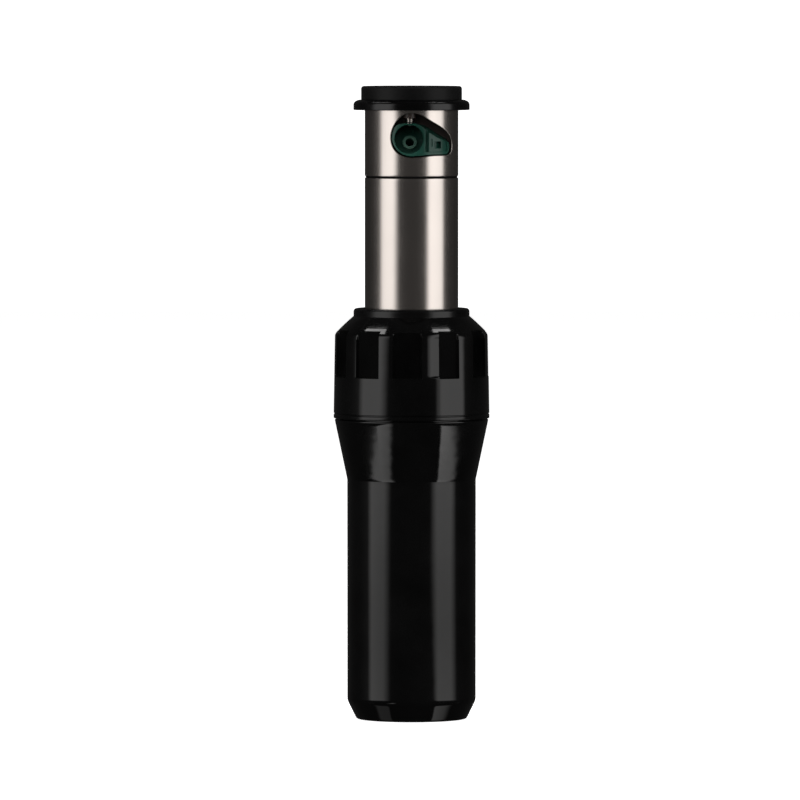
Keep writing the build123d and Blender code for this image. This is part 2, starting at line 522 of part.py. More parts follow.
# radius screw: head in the cover, tip over the nozzle's rim
screw = rev([(0, SCREW_TIP), (1.1, SCREW_TIP, 0.3), (1.75, SCREW_TIP + 0.7, 0.3), (1.75, SCREW_TIP + 1.1), (1.5, SCREW_TIP + 1.35), (1.5, SCREW_TIP + 1.6),
             (SCREW_R, SCREW_TIP + 1.95), (SCREW_R, 312.6), (2.4, 312.6, 0.2), (2.4, 315.2, 0.5), (0, 315.2)])
screw = Pos(SCREW_X, SCREW_Y, 0) * screw
screw = screw - box(SCREW_X - 3, SCREW_X + 3, SCREW_Y - 0.45, SCREW_Y + 0.45, 314.0, 316)
save("radius_screw", screw)

# top flange of the turret: rests on the cap when the riser is down
flange = rev([(0, 309.1), (SLEEVE_R + 0.05, 309.1), (SLEEVE_R + 0.05, COVER_FLANGE_Z), (COVER_FLANGE_R, COVER_FLANGE_Z, 0.4), (COVER_FLANGE_R, 310.5, 2.2),
              (26.6, COVER_FLANGE_TOP, 1.0), (0, COVER_FLANGE_TOP)])
flange = flange - cyl(2.75, 305, 320, SCREW_X, SCREW_Y) - cyl(2.3, 305, 320, ARC_X, ARC_Y)
flange = flange - box(-1.4, 1.4, 6.5, 15.5, 305, 320) - cyl(2.0, 305, 320, 0, 11.0)
# ring that the rubber cover snaps over
flange = flange + tube(22.6, 21.2, COVER_FLANGE_TOP - 0.1, 314.6) - cyl(2.75, 305, 320, SCREW_X, SCREW_Y) - cyl(2.6, 305, 320, ARC_X, ARC_Y)
save("turret_flange", flange)

# rubber cover pressed on over the flange
cover = rev([(0, COVER_FLANGE_TOP + 0.05), (21.15, COVER_FLANGE_TOP + 0.05), (21.15, 314.7), (22.65, 314.7), (22.65, COVER_FLANGE_TOP + 0.05),
             (COVER_R, COVER_FLANGE_TOP + 0.05, 0.2), (COVER_R, COVER_TOP, 1.4), (0, COVER_TOP)])
cover = cover - cyl(2.75, 305, 320, SCREW_X, SCREW_Y) - cyl(2.6, 305, 320, ARC_X, ARC_Y)
cover = cover - box(-1.3, 1.3, 6.5, 15.5, 305, 320) - cyl(1.9, 305, 320, 0, 11.0)
# key hole marker ridge and the arrow that shows where the nozzle looks
arrow = extrude(make_face(Polyline((-3.2, -10.4, COVER_TOP + 0.2), (0, -15.2, COVER_TOP + 0.2), (3.2, -10.4, COVER_TOP + 0.2), (1.2, -10.4, COVER_TOP + 0.2), (1.2, -4.5, COVER_TOP + 0.2), (-1.2, -4.5, COVER_TOP + 0.2), (-1.2, -10.4, COVER_TOP + 0.2), close=True)), amount=0.65, dir=(0, 0, -1))
cover = cover - arrow
save("rubber_cover", cover)
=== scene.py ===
import bpy
import bmesh
import json
import math
import numpy as np
from mathutils import Vector, Matrix, noise, geometry


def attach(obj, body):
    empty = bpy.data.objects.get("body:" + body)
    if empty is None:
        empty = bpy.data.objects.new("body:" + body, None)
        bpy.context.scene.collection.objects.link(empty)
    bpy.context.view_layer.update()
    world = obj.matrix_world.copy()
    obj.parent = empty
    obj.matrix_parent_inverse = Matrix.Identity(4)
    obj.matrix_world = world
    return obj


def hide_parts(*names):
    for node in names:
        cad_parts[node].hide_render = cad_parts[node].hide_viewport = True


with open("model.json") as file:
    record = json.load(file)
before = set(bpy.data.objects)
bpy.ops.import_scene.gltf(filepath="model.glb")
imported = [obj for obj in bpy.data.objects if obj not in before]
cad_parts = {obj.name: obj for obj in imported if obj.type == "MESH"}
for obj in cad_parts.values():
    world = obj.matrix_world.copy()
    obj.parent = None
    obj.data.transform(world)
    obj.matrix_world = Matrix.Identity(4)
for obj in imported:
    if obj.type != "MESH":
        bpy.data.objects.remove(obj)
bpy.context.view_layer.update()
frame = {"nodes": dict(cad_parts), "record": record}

MM = 0.001
scene = bpy.context.scene
scene.view_settings.view_transform = "Standard"
scene.view_settings.look = "None"

# ------------------------------------------------------------- node helpers


def new_material(name):
    m = bpy.data.materials.new(name)
    m.use_nodes = True
    nt = m.node_tree
    nt.nodes.clear()
    out = nt.nodes.new("ShaderNodeOutputMaterial")
    bsdf = nt.nodes.new("ShaderNodeBsdfPrincipled")
    nt.links.new(bsdf.outputs[0], out.inputs[0])
    return m, nt, bsdf


def coords(nt, scale=(1, 1, 1)):
    """Object coordinates (every piece lies in the row frame, in metres), scaled."""
    tc = nt.nodes.new("ShaderNodeTexCoord")
    mp = nt.nodes.new("ShaderNodeMapping")
    mp.inputs["Scale"].default_value = scale
    nt.links.new(tc.outputs["Object"], mp.inputs["Vector"])
    return mp.outputs["Vector"]


def polar(nt, ang_scale, z_scale, r_scale=0.0):
    """Coordinates that run round the axis and along it, for brushed and drawn surfaces."""
    tc = nt.nodes.new("ShaderNodeTexCoord")
    sep = nt.nodes.new("ShaderNodeSeparateXYZ")
    nt.links.new(tc.outputs["Object"], sep.inputs[0])
    norm = nt.nodes.new("ShaderNodeVectorMath"); norm.operation = "NORMALIZE"
    flat = nt.nodes.new("ShaderNodeCombineXYZ")
    nt.links.new(sep.outputs[0], flat.inputs[0]); nt.links.new(sep.outputs[1], flat.inputs[1])
    nt.links.new(flat.outputs[0], norm.inputs[0])
    sc = nt.nodes.new("ShaderNodeVectorMath"); sc.operation = "SCALE"
    sc.inputs["Scale"].default_value = ang_scale
    nt.links.new(norm.outputs[0], sc.inputs[0])
    s2 = nt.nodes.new("ShaderNodeSeparateXYZ")
    nt.links.new(sc.outputs[0], s2.inputs[0])
    mz = nt.nodes.new("ShaderNodeMath"); mz.operation = "MULTIPLY"; mz.inputs[1].default_value = z_scale
    nt.links.new(sep.outputs[2], mz.inputs[0])
    c = nt.nodes.new("ShaderNodeCombineXYZ")
    nt.links.new(s2.outputs[0], c.inputs[0]); nt.links.new(s2.outputs[1], c.inputs[1]); nt.links.new(mz.outputs[0], c.inputs[2])
    return c.outputs[0]


def tex_noise(nt, vec, scale=1.0, detail=3.0, rough=0.55, dist=0.0):
    n = nt.nodes.new("ShaderNodeTexNoise")
    n.inputs["Scale"].default_value = scale
    n.inputs["Detail"].default_value = detail
    n.inputs["Roughness"].default_value = rough
    n.inputs["Distortion"].default_value = dist
    nt.links.new(vec, n.inputs["Vector"])
    return n.outputs["Fac"]


def remap(nt, val, a, b, c, d, smooth=False):
    m = nt.nodes.new("ShaderNodeMapRange")
    m.clamp = True
    if smooth:
        m.interpolation_type = "SMOOTHSTEP"
    for i, v in enumerate((a, b, c, d)):
        m.inputs[i + 1].default_value = v
    nt.links.new(val, m.inputs[0])
    return m.outputs[0]


def math_node(nt, op, a, b=None):
    m = nt.nodes.new("ShaderNodeMath"); m.operation = op
    for i, v in enumerate((a, b)):
        if v is None:
            continue
        if isinstance(v, (int, float)):
            m.inputs[i].default_value = v
        else:
            nt.links.new(v, m.inputs[i])
    return m.outputs[0]


def mix_colour(nt, fac, a, b):
    m = nt.nodes.new("ShaderNodeMix"); m.data_type = "RGBA"
    if isinstance(fac, (int, float)):
        m.inputs[0].default_value = fac
    else:
        nt.links.new(fac, m.inputs[0])
    for i, v in ((6, a), (7, b)):
        if isinstance(v, tuple):
            m.inputs[i].default_value = (*v, 1) if len(v) == 3 else v
        else:
            nt.links.new(v, m.inputs[i])
    return m.outputs[2]


def bump(nt, bsdf, height, strength=0.3, distance=0.0001, prev=None):
    b = nt.nodes.new("ShaderNodeBump")
    b.inputs["Strength"].default_value = strength
    b.inputs["Distance"].default_value = distance
    nt.links.new(height, b.inputs["Height"])
    if prev is not None:
        nt.links.new(prev, b.inputs["Normal"])
    nt.links.new(b.outputs[0], bsdf.inputs["Normal"])
    return b.outputs[0]


def edge_wear_and_sheen(nt):
    """0 on flats, 1 along convex edges."""
    g = nt.nodes.new("ShaderNodeNewGeometry")
    return remap(nt, g.outputs["Pointiness"], 0.52, 0.60, 0.0, 1.0, True)


# ---------------------------------------------------------------- materials


def moulded(name, base, rough, spread=0.05, grain=0.12, ior=1.5, grain_scale=2600.0, scuff=0.35, tint=None, spec=0.5):
    """Injection moulded plastic: even gloss with faint flow variation, fine grain and handling marks."""
    m, nt, p = new_material(name)
    v = coords(nt)
    broad = tex_noise(nt, v, 38.0, 3.0, 0.6)
    fine = tex_noise(nt, v, grain_scale, 2.0, 0.6)
    marks = tex_noise(nt, coords(nt, (900.0, 900.0, 60.0)), 1.0, 4.0, 0.75, 0.6)
    marks = remap(nt, marks, 0.60, 0.78, 0.0, 1.0, True)
    r = remap(nt, broad, 0.3, 0.7, rough - spread, rough + spread)
    r = math_node(nt, "ADD", r, math_node(nt, "MULTIPLY", marks, scuff * 0.16))
    nt.links.new(r, p.inputs["Roughness"])
    dark = tuple(c * 0.85 for c in base)
    light = tuple(min(1.0, c * 1.3 + 0.002) for c in base)
    col = mix_colour(nt, remap(nt, broad, 0.35, 0.65, 0, 1), dark, light)
    # convex edges are lightened: handling wear on most parts; on the green nozzle parts, with their given edge tint, a
    # painted edge highlight
    edge_wear_and_sheen_colour = tuple(min(1.0, c * 1.9 + 0.004) for c in base) if tint is None else tint
    edge_wear_and_sheen_mix = math_node(nt, "MULTIPLY", edge_wear_and_sheen(nt), 0.55)
    col = mix_colour(nt, edge_wear_and_sheen_mix, col, edge_wear_and_sheen_colour)
    nt.links.new(col, p.inputs["Base Color"])
    p.inputs["IOR"].default_value = ior
    p.inputs["Specular IOR Level"].default_value = spec
    b1 = bump(nt, p, fine, grain, 0.00004)
    bump(nt, p, broad, 0.10, 0.0006, b1)
    return m


def rubbery(name, base, rough, grain=0.35, spec=0.5):
    m, nt, p = new_material(name)
    v = coords(nt)
    broad = tex_noise(nt, v, 60.0, 4.0, 0.6)
    fine = tex_noise(nt, v, 3400.0, 3.0, 0.65)
    nt.links.new(remap(nt, broad, 0.3, 0.7, rough - 0.05, rough + 0.07), p.inputs["Roughness"])
    dust = remap(nt, tex_noise(nt, v, 420.0, 5.0, 0.7), 0.58, 0.75, 0.0, 0.35, True)
    col = mix_colour(nt, remap(nt, broad, 0.35, 0.65, 0, 1), tuple(c * 0.8 for c in base), tuple(c * 1.25 for c in base))
    col = mix_colour(nt, dust, col, tuple(c * 1.8 + 0.006 for c in base))
    nt.links.new(col, p.inputs["Base Color"])
    p.inputs["IOR"].default_value = 1.5
    p.inputs["Specular IOR Level"].default_value = spec
    p.inputs["Sheen Weight"].default_value = 0.015
    p.inputs["Sheen Roughness"].default_value = 0.5
    b1 = bump(nt, p, fine, grain, 0.00005)
    bump(nt, p, broad, 0.08, 0.0005, b1)
    return m


def drawn_steel(name, base, rough, streak=0.35, ends=None):
    """Drawn stainless tube: fine lines along the tube, a little waviness."""
    m, nt, p = new_material(name)
    lines = tex_noise(nt, polar(nt, 160.0, 9.0), 1.0, 5.0, 0.65)
    rings = tex_noise(nt, polar(nt, 0.6, 2600.0), 1.0, 3.0, 0.6)
    broad = tex_noise(nt, coords(nt), 45.0, 3.0, 0.55)
    scr = remap(nt, tex_noise(nt, polar(nt, 60.0, 520.0), 1.0, 6.0, 0.8, 0.8), 0.66, 0.74, 0.0, 1.0, True)
    r = remap(nt, lines, 0.3, 0.7, rough - 0.035, rough + 0.045)
    r = math_node(nt, "ADD", r, math_node(nt, "MULTIPLY", remap(nt, broad, 0.3, 0.7, -1, 1), 0.018))
    r = math_node(nt, "ADD", r, math_node(nt, "MULTIPLY", scr, 0.05))
    nt.links.new(r, p.inputs["Roughness"])
    col = mix_colour(nt, remap(nt, lines, 0.35, 0.65, 0, 1), tuple(c * 0.965 for c in base), tuple(min(1, c * 1.03) for c in base))
    col = mix_colour(nt, math_node(nt, "MULTIPLY", scr, 0.25), col, tuple(c * 0.8 for c in base))
    nt.links.new(col, p.inputs["Base Color"])
    p.inputs["Metallic"].default_value = 1.0
    b1 = bump(nt, p, lines, streak * 0.35, 0.00002)
    b2 = bump(nt, p, rings, streak * 0.25, 0.00001, b1)
    bump(nt, p, broad, 0.05, 0.0004, b2)
    return m


def small_steel(name, base, rough):
    m, nt, p = new_material(name)
    v = coords(nt)
    n = tex_noise(nt, v, 900.0, 4.0, 0.65)
    broad = tex_noise(nt, v, 120.0, 3.0, 0.6)
    nt.links.new(remap(nt, n, 0.3, 0.7, rough - 0.07, rough + 0.09), p.inputs["Roughness"])
    nt.links.new(mix_colour(nt, remap(nt, broad, 0.3, 0.7, 0, 1), tuple(c * 0.85 for c in base), tuple(min(1, c * 1.05) for c in base)), p.inputs["Base Color"])
    p.inputs["Metallic"].default_value = 1.0
    bump(nt, p, n, 0.2, 0.00002)
    return m


MAT = {
    "black_body": moulded("case_plastic", (0.0006, 0.0006, 0.00065), 0.06, 0.02, 0.04, 1.50),
    "black_cap": moulded("cap_plastic", (0.0006, 0.0006, 0.00065), 0.075, 0.02, 0.04, 1.5, spec=0.43),
    "black_inner": moulded("inner_plastic", (0.0300, 0.0210, 0.0180), 0.40, 0.06, 0.15, 1.5, spec=0.35),
    "rubber": rubbery("cover_rubber", (0.0030, 0.0030, 0.0031), 0.46, spec=0.20),
    "seal_rubber": rubbery("seal_rubber", (0.006, 0.006, 0.006), 0.45, 0.25, spec=0.3),
    "steel_sleeve": drawn_steel("drawn_steel", (0.645, 0.590, 0.553), 0.20),
    "steel_small": small_steel("small_steel", (0.66, 0.63, 0.60), 0.24),
    "spring_steel": small_steel("spring_steel", (0.45, 0.44, 0.42), 0.30),
    # its tint lightens the nozzle's edges: a painted edge highlight
    "nozzle_green": moulded("nozzle_green", (0.012, 0.066, 0.047), 0.25, 0.05, 0.12, 1.5, tint=(0.03, 0.12, 0.09), spec=0.38),
    "gear_acetal": moulded("gear_acetal", (0.72, 0.70, 0.64), 0.33, 0.05, 0.10, 1.48, tint=(0.80, 0.79, 0.74)),
    "housing_grey": moulded("housing_grey", (0.06, 0.06, 0.064), 0.36, 0.05, 0.15, 1.5),
    "screen_plastic": moulded("screen_plastic", (0.40, 0.41, 0.40), 0.38, 0.05, 0.15, 1.5),
}
MAT_POCKET = moulded("cap_pocket_texture", (0.0013, 0.0013, 0.0013), 0.50, 0.06, 0.15, 1.40, 1500.0, spec=0.03)
MAT_LIP = moulded("cap_lip_plastic", (0.0006, 0.0006, 0.00065), 0.22, 0.04, 0.10, 1.5, spec=0.42)
MAT_FLANGE = moulded("flange_plastic", (0.0006, 0.0006, 0.00065), 0.17, 0.03, 0.08, 1.5, spec=0.42)
# lighter green for the ring round the nozzle's bore: a painted highlight on its raised rim
MAT_RING_PAINTED_HIGHLIGHT = moulded("nozzle_ring_painted_highlight", (0.062, 0.135, 0.102), 0.34, 0.05, 0.12, 1.48, tint=(0.10, 0.19, 0.15), spec=0.4)
# darker green for the inside of the nozzle's bowl: painted shade, where the bowl's walls keep the light out
MAT_BOWL_PAINTED_SHADE = moulded("nozzle_bowl_painted_shade", (0.0050, 0.0300, 0.0205), 0.30, 0.05, 0.12, 1.5, tint=(0.012, 0.055, 0.040), spec=0.36)
MAT_GAP = moulded("gap_washer_black", (0.0030, 0.0030, 0.0030), 0.55, 0.05, 0.2, 1.45, spec=0.15)

# ------------------------------------------------------------- mesh helpers


def sample_profile(pts, arc_step=0.16, seg_max=1.6):
    """Closed outline [(r, z, radius)] to sampled points; corners become arcs, long runs are divided."""
    n = len(pts)
    out = []
    P = [np.array(p[:2], float) for p in pts]
    R = [p[2] if len(p) > 2 else 0.0 for p in pts]
    seg = []
    for i in range(n):
        if R[i] <= 0:
            seg.append(([P[i]]))
            continue
        u = P[i - 1] - P[i]; u = u / np.linalg.norm(u)
        v = P[(i + 1) % n] - P[i]; v = v / np.linalg.norm(v)
        ang = math.acos(max(-1, min(1, float(u @ v))))
        t = R[i] / math.tan(ang / 2)
        bis = (u + v) / np.linalg.norm(u + v)
        c = P[i] + bis * (R[i] / math.sin(ang / 2))
        a, b = P[i] + u * t, P[i] + v * t
        a0 = math.atan2(*(a - c)[::-1]); a1 = math.atan2(*(b - c)[::-1])
        d = (a1 - a0 + math.pi) % (2 * math.pi) - math.pi
        k = max(4, int(abs(d) * R[i] / arc_step) + 1)
        seg.append([c + R[i] * np.array((math.cos(a0 + d * j / k), math.sin(a0 + d * j / k))) for j in range(k + 1)])
    for i in range(n):
        out += seg[i]
        a, b = seg[i][-1], seg[(i + 1) % n][0]
        L = np.linalg.norm(b - a)
        k = int(L / seg_max) + 1
        for j in range(1, k):
            out.append(a + (b - a) * j / k)
    clean = []
    for p in out:
        if not clean or np.linalg.norm(p - clean[-1]) > 1e-4:
            clean.append(p)
    if np.linalg.norm(clean[0] - clean[-1]) < 1e-4:
        clean.pop()
    return np.array(clean)


def make_object(name, verts, faces, slot, body, replaces=(), smooth=True, sharp_deg=38.0):
    me = bpy.data.meshes.new(name)
    me.from_pydata([tuple(float(c) * MM for c in v) for v in verts], [], [tuple(int(i) for i in f) for f in faces])
    me.validate()
    me.update()
    ob = bpy.data.objects.new(name, me)
    scene.collection.objects.link(ob)
    if smooth:
        me.polygons.foreach_set("use_smooth", [True] * len(me.polygons))
        if sharp_deg:
            me.set_sharp_from_angle(angle=math.radians(sharp_deg))
    me.materials.append(MAT[slot])
    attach(ob, body)
    if replaces:
        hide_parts(*replaces)
    return ob


def revolve(name, pts, slot, body, replaces=(), nseg=256, warp=None, sharp_deg=38.0, arc_step=0.16, seg_max=1.6, thetas=None):
    prof = sample_profile(pts, arc_step, seg_max)
    area = 0.5 * sum(prof[i - 1][0] * prof[i][1] - prof[i][0] * prof[i - 1][1] for i in range(len(prof)))
    if area < 0:
        prof = prof[::-1]
    m = len(prof)
    th = np.arange(nseg) * 2 * math.pi / nseg
    if thetas is not None:
        th = np.array(thetas)
        nseg = len(th)
    V = np.zeros((nseg, m, 3))
    V[:, :, 0] = prof[None, :, 0] * np.cos(th)[:, None]
    V[:, :, 1] = prof[None, :, 0] * np.sin(th)[:, None]
    V[:, :, 2] = prof[None, :, 1]
    if warp is not None:
        V = warp(V, prof, th)
    F = []
    for i in range(nseg):
        a, b = i * m, ((i + 1) % nseg) * m
        for j in range(m):
            k = (j + 1) % m
            F.append((a + j, b + j, b + k, a + k))
    return make_object(name, V.reshape(-1, 3), F, slot, body, replaces, sharp_deg=sharp_deg)


# ----------------------------------------------------------------- the case
BODY_OUT = [(27.7, 0, 1.7), (31.98, 8.69, 11), (32.25, 9.6, 0.05), (32.35, 10.55, 17.5), (32.35, 120.7, 0.4), (38.75, 151.2, 0.7)]
neck = []
for i in range(5):
    z = 158 + 5 * i
    neck += [(34.5, z - 1.0), (35.55, z - 0.45, 0.15), (35.55, z + 0.45, 0.15), (34.5, z + 1.0)]
thread = [(17.0, 0.0, 0.0), (15.15, 1.4)]
z = 1.4
while z + 2.309 < 18.5:
    thread += [(15.15, z + 0.9), (16.4, z + 1.5), (16.4, z + 1.7), (15.15, z + 2.309)]
    z += 2.309
thread += [(15.15, 18.5), (13.0, 18.5, 0.2), (13.0, 22.0, 0.3), (15.2, 22.0, 0.3), (15.2, 20.0, 0.4), (29.3, 20.0, 1.4), (29.3, 127), (32.6, 146), (32.6, 190.0, 0.3)]
case_pts = BODY_OUT + [(34.5, 151.2)] + neck + [(34.5, 190.0, 0.4)] + thread[::-1] + [(21.0, 0.0, 0.3), (21.0, 14.5, 0.4), (24.4, 14.5, 0.4), (24.4, 0.0, 0.3)]
revolve("case_shell", case_pts, "black_body", "case", ("case_body",), nseg=320)


def merged_blocks(name, blocks, slot, body, r=0.25, seg=3, replaces=()):
    V, F = [], []
    for size, place in blocks:
        bm = bmesh.new()
        bmesh.ops.create_cube(bm, size=1.0)
        bmesh.ops.scale(bm, vec=size, verts=bm.verts)
        bmesh.ops.bevel(bm, geom=bm.edges[:] + bm.verts[:], offset=r, segments=seg, profile=0.5, affect="EDGES")
        bmesh.ops.transform(bm, matrix=place, verts=bm.verts)
        bm.verts.index_update()
        o = len(V)
        V += [tuple(v.co) for v in bm.verts]
        F += [[o + v.index for v in f.verts] for f in bm.faces]
        bm.free()
    return make_object(name, V, F, slot, body, replaces)


ribs = []
for k in range(8):
    a = math.radians(22.5 + 45 * k)
    ribs.append(((4.2, 2.2, 14.3), Matrix.Rotation(a, 4, "Z") @ Matrix.Translation((22.7, 0, 7.45))))
merged_blocks("case_base_ribs", ribs, "black_body", "case", 0.2, 2)
guides = []
for a in (45, 135, 225, 315):
    guides.append(((2.6, 3.0, 150.0), Matrix.Rotation(math.radians(a), 4, "Z") @ Matrix.Translation((29.6, 0, 100.5))))
merged_blocks("case_guide_ribs", guides, "black_body", "case", 0.2, 2)

# ------------------------------------------------------------------ the cap
SHOULDER = []
for i in range(1, 8):                       # the shoulder is very slightly crowned
    t = i / 8.0
    bow = 0.20 * 4 * t * (1 - t)
    SHOULDER.append((29.15 + (38.52 - 29.15) * t + bow * 0.683, 202.9 + (193.95 - 202.9) * t + bow * 0.73))
CAP = [(25.4, 196.4), (25.4, 206.8, 0.5), (29.15, 206.8, 1.5), (29.15, 202.9, 0.3)] + SHOULDER + [(38.52, 193.95, 3.4), (39.18, 154.3), (38.85, 154.0, 0.1),
       (38.85, 153.7, 0.1), (39.2, 153.3, 0.25), (39.2, 151.6, 0.4), (36.0, 151.6, 0.3), (36.0, 190.2), (35.4, 192.9), (31.5, 196.4)]
N_POCKETS, P_CENTRE, P_HALF, P_DEPTH, P_Z0, P_Z1 = 11, -2.7, 9.8, 1.9, 172.6, 202.0


def smooth(x, a, b):
    t = np.clip((x - a) / (b - a), 0, 1)
    return t * t * (3 - 2 * t)


PITCH = 360.0 / N_POCKETS
# the three pockets at the front were measured one by one: from, to (degrees from -Y towards +X)
FRONT_POCKETS = {-1: (-46.2, -25.3), 0: (-14.4, 7.6), 1: (21.3, 37.8)}


def pocket_span(k):
    k = (k + 5) % 11 - 5
    return FRONT_POCKETS.get(k, (P_CENTRE + PITCH * k - P_HALF, P_CENTRE + PITCH * k + P_HALF))


def pocket_rel(ang):
    """Angle from the nearest pocket's centre, stretched so that every pocket's edges sit at +-P_HALF."""
    a = (np.asarray(ang, float) + 180.0) % 360.0 - 180.0
    k = np.round((a - P_CENTRE) / PITCH).astype(int)
    out = np.zeros_like(a)
    for i in range(a.size):
        lo, hi = pocket_span(int(k.flat[i]))
        base = P_CENTRE + PITCH * round(((lo + hi) / 2 - P_CENTRE) / PITCH)
        shift = 0.0
        if a.flat[i] - (lo + hi) / 2 > 180: shift = -360.0
        if a.flat[i] - (lo + hi) / 2 < -180: shift = 360.0
        x = a.flat[i] + shift
        mid = (lo + hi) / 2
        out.flat[i] = P_HALF + (x - hi) if x > hi else (-P_HALF + (x - lo) if x < lo else (x - mid) * 2 * P_HALF / (hi - lo))
    return out


def rib_lean(a):
    """How far the face of the rib right of the front pocket falls back, in mm: it leans a little to the right."""
    a = (a + 180.0) % 360.0 - 180.0
    if a < 6.5 or a > 30.0:
        return 0.0
    t = (a - 8.3)
    return float(np.interp(t, (-1.8, 0.0, 3.0, 6.0, 9.0, 12.0, 16.0, 21.0), (0.0, 0.02, 0.16, 0.42, 0.72, 1.06, 1.3, 0.0)))


def cap_warp(V, prof, th):
    """Presses the finger pockets into the outer wall: flat floor, drafted walls, small radii."""
    r = prof[:, 0][None, :]
    zz = prof[:, 1][None, :]
    ang = np.degrees(th) + 90.0                 # 0 at -Y, growing towards +X
    rel = pocket_rel(ang)[:, None]
    lean = np.array([rib_lean(a) for a in ang])[:, None]
    outer = (r > 37.0) & (zz > 155) & (zz < 199)
    side = np.interp(zz, [154.3, 193.95], [39.18, 38.52])
    # distance from the pocket's centre plane, in mm, along the wall
    x = np.radians(rel) * 38.6
    half = math.radians(P_HALF) * 38.6
    floor_r = (38.6 - P_DEPTH) / np.maximum(np.cos(np.radians(rel)), 0.9)
    inside = 1 - smooth(np.abs(x), half - 0.42, half + 0.10)
    up = smooth(zz, P_Z0 - 0.10, P_Z0 + 0.45)
    w = inside * up
    r_out = r - lean * smooth(zz, P_Z0 + 0.2, P_Z0 + 1.6) * (1 - smooth(zz, 192.5, 196.0))
    target = np.minimum(floor_r, r_out)
    rr = np.where(outer, r_out + (target - r_out) * w, r + 0 * w)
    k = rr / np.maximum(r, 1e-6)
    V[:, :, 0] *= k
    V[:, :, 1] *= k
    return V


cap_thetas = []
edge_mm = math.radians(P_HALF) * 38.6
marks = [-edge_mm + d for d in (-0.9, -0.45, -0.22, -0.1, 0.0, 0.07, 0.13, 0.2, 0.27, 0.34, 0.42, 0.6, 0.95)]
marks = sorted(marks + [-m for m in marks] + list(np.arange(-edge_mm + 1.5, edge_mm - 1.4, 0.75)))
pitch = 360.0 / N_POCKETS
rib_mm = math.radians(pitch) * 38.6
marks += list(np.linspace(marks[-1], rib_mm + marks[0], 14)[1:-1])
for k in range(-5, 6):
    lo, hi = pocket_span(k)
    edge = math.radians(P_HALF)
    for m in marks:                         # the marks follow each pocket's own edges
        a = m / 38.6
        if a > edge:
            nxt = pocket_span(k + 1)[0] + (360.0 if k == 5 else 0.0)
            a = math.radians(hi) + (a - edge) / (math.radians(PITCH) - 2 * edge) * math.radians(nxt - hi)
        elif a < -edge:
            continue
        else:
            a = math.radians((lo + hi) / 2) + a * math.radians(hi - lo) / (2 * edge)
        cap_thetas.append(a - math.pi / 2)
cap = revolve("cap_shell", CAP, "black_cap", "case", ("body_cap",), warp=cap_warp, arc_step=0.2, seg_max=0.32, thetas=cap_thetas, sharp_deg=30)
# pocket floors and walls carry a fine matt texture, and the rolled lip is a little duller than the wall
cap.data.materials.append(MAT_POCKET)
cap.data.materials.append(MAT_LIP)
for poly in cap.data.polygons:
    c = poly.center
    rad = math.hypot(c[0], c[1]) / MM
    zc = c[2] / MM
    ang = float(pocket_rel([math.degrees(math.atan2(c[0], -c[1]))])[0])
    wall = np.interp(zc, [154.3, 193.95], [39.18, 38.52])
    if abs(ang) < P_HALF + 0.14 and P_Z0 - 0.1 < zc < 196.5 and 36.3 < rad < wall - 0.06 and not (zc > 192.0 and rad > 38.6 / math.cos(math.radians(ang)) - P_DEPTH + 0.05):
        poly.material_index = 1
    elif zc > 202.8 and rad > 26.5:
        poly.material_index = 2

# wiper seal lip round the riser
revolve("wiper_lip", [(24.9, 193.7), (31.0, 193.7, 0.4), (31.0, 196.3, 0.4), (25.3, 196.3), (25.3, 205.9, 0.6), (24.3, 205.9, 0.4), (23.58, 204.6, 0.2), (23.58, 203.0), (24.9, 201.4)],
        "seal_rubber", "case", ("wiper_seal",), nseg=256)

# ---------------------------------------------------------------- the riser
revolve("riser_tube_steel", [(23.0, 170.6, 0.1), (23.5, 170.6, 0.15), (23.5, 272.4, 0.24), (23.0, 272.4, 0.2)], "steel_sleeve", "riser", ("riser_sleeve",), nseg=384, sharp_deg=None)

# --------------------------------------------------------------- the turret
OPEN_Z = 293.1
OPENING = [(20.3, -4.4), (20.1, -2.2), (19.4, 0.2), (18.3, 2.1), (16.1, 4.2), (11.6, 7.05), (7.2, 9.65), (4.0, 11.35), (0.4, 12.1), (-3.5, 11.4),
           (-6.1, 9.6), (-8.1, 7.1), (-9.7, 4.2), (-10.6, 0.5), (-10.35, -2.8), (-9.0, -5.8), (-6.7, -8.2), (-3.5, -9.9), (0.0, -10.45), (4.0, -10.2),
           (8.0, -9.65), (13.0, -9.3), (17.2, -9.2), (19.2, -8.55), (20.15, -6.6)]


def natural_spline(pts, per=14):
    """Smooth open curve through points: chord length parameter, natural cubic."""
    P = np.array(pts, float)
    d = np.linalg.norm(np.diff(P, axis=0), axis=1)
    t = np.concatenate([[0], np.cumsum(d)])
    n = len(P)
    A = np.zeros((n, n)); B = np.zeros((n, 2))
    A[0, 0] = A[-1, -1] = 1
    h = np.diff(t)
    for i in range(1, n - 1):
        A[i, i - 1], A[i, i], A[i, i + 1] = h[i - 1], 2 * (h[i - 1] + h[i]), h[i]
        B[i] = 6 * ((P[i + 1] - P[i]) / h[i] - (P[i] - P[i - 1]) / h[i - 1])
    M = np.linalg.solve(A, B)
    ts = np.linspace(0, t[-1], per * (n - 1) + 1)
    out = []
    for x in ts:
        i = min(n - 2, max(0, int(np.searchsorted(t, x) - 1)))
        a, b = t[i + 1] - x, x - t[i]
        out.append((M[i] * a ** 3 + M[i + 1] * b ** 3) / (6 * h[i]) + (P[i] / h[i] - M[i] * h[i] / 6) * a + (P[i + 1] / h[i] - M[i + 1] * h[i] / 6) * b)
    return np.array(out)


def resample_closed(P, step):
    P = np.vstack([P, P[:1]])
    d = np.linalg.norm(np.diff(P, axis=0), axis=1)
    t = np.concatenate([[0], np.cumsum(d)])
    n = int(round(t[-1] / step))
    ts = np.linspace(0, t[-1], n, endpoint=False)
    return np.stack([np.interp(ts, t, P[:, 0]), np.interp(ts, t, P[:, 1])], 1)


def round_loop(P, times):
    """Smooths a closed loop a little, which rounds its corners."""
    for _ in range(times):
        P = 0.5 * P + 0.25 * (np.roll(P, 1, 0) + np.roll(P, -1, 0))
    return P


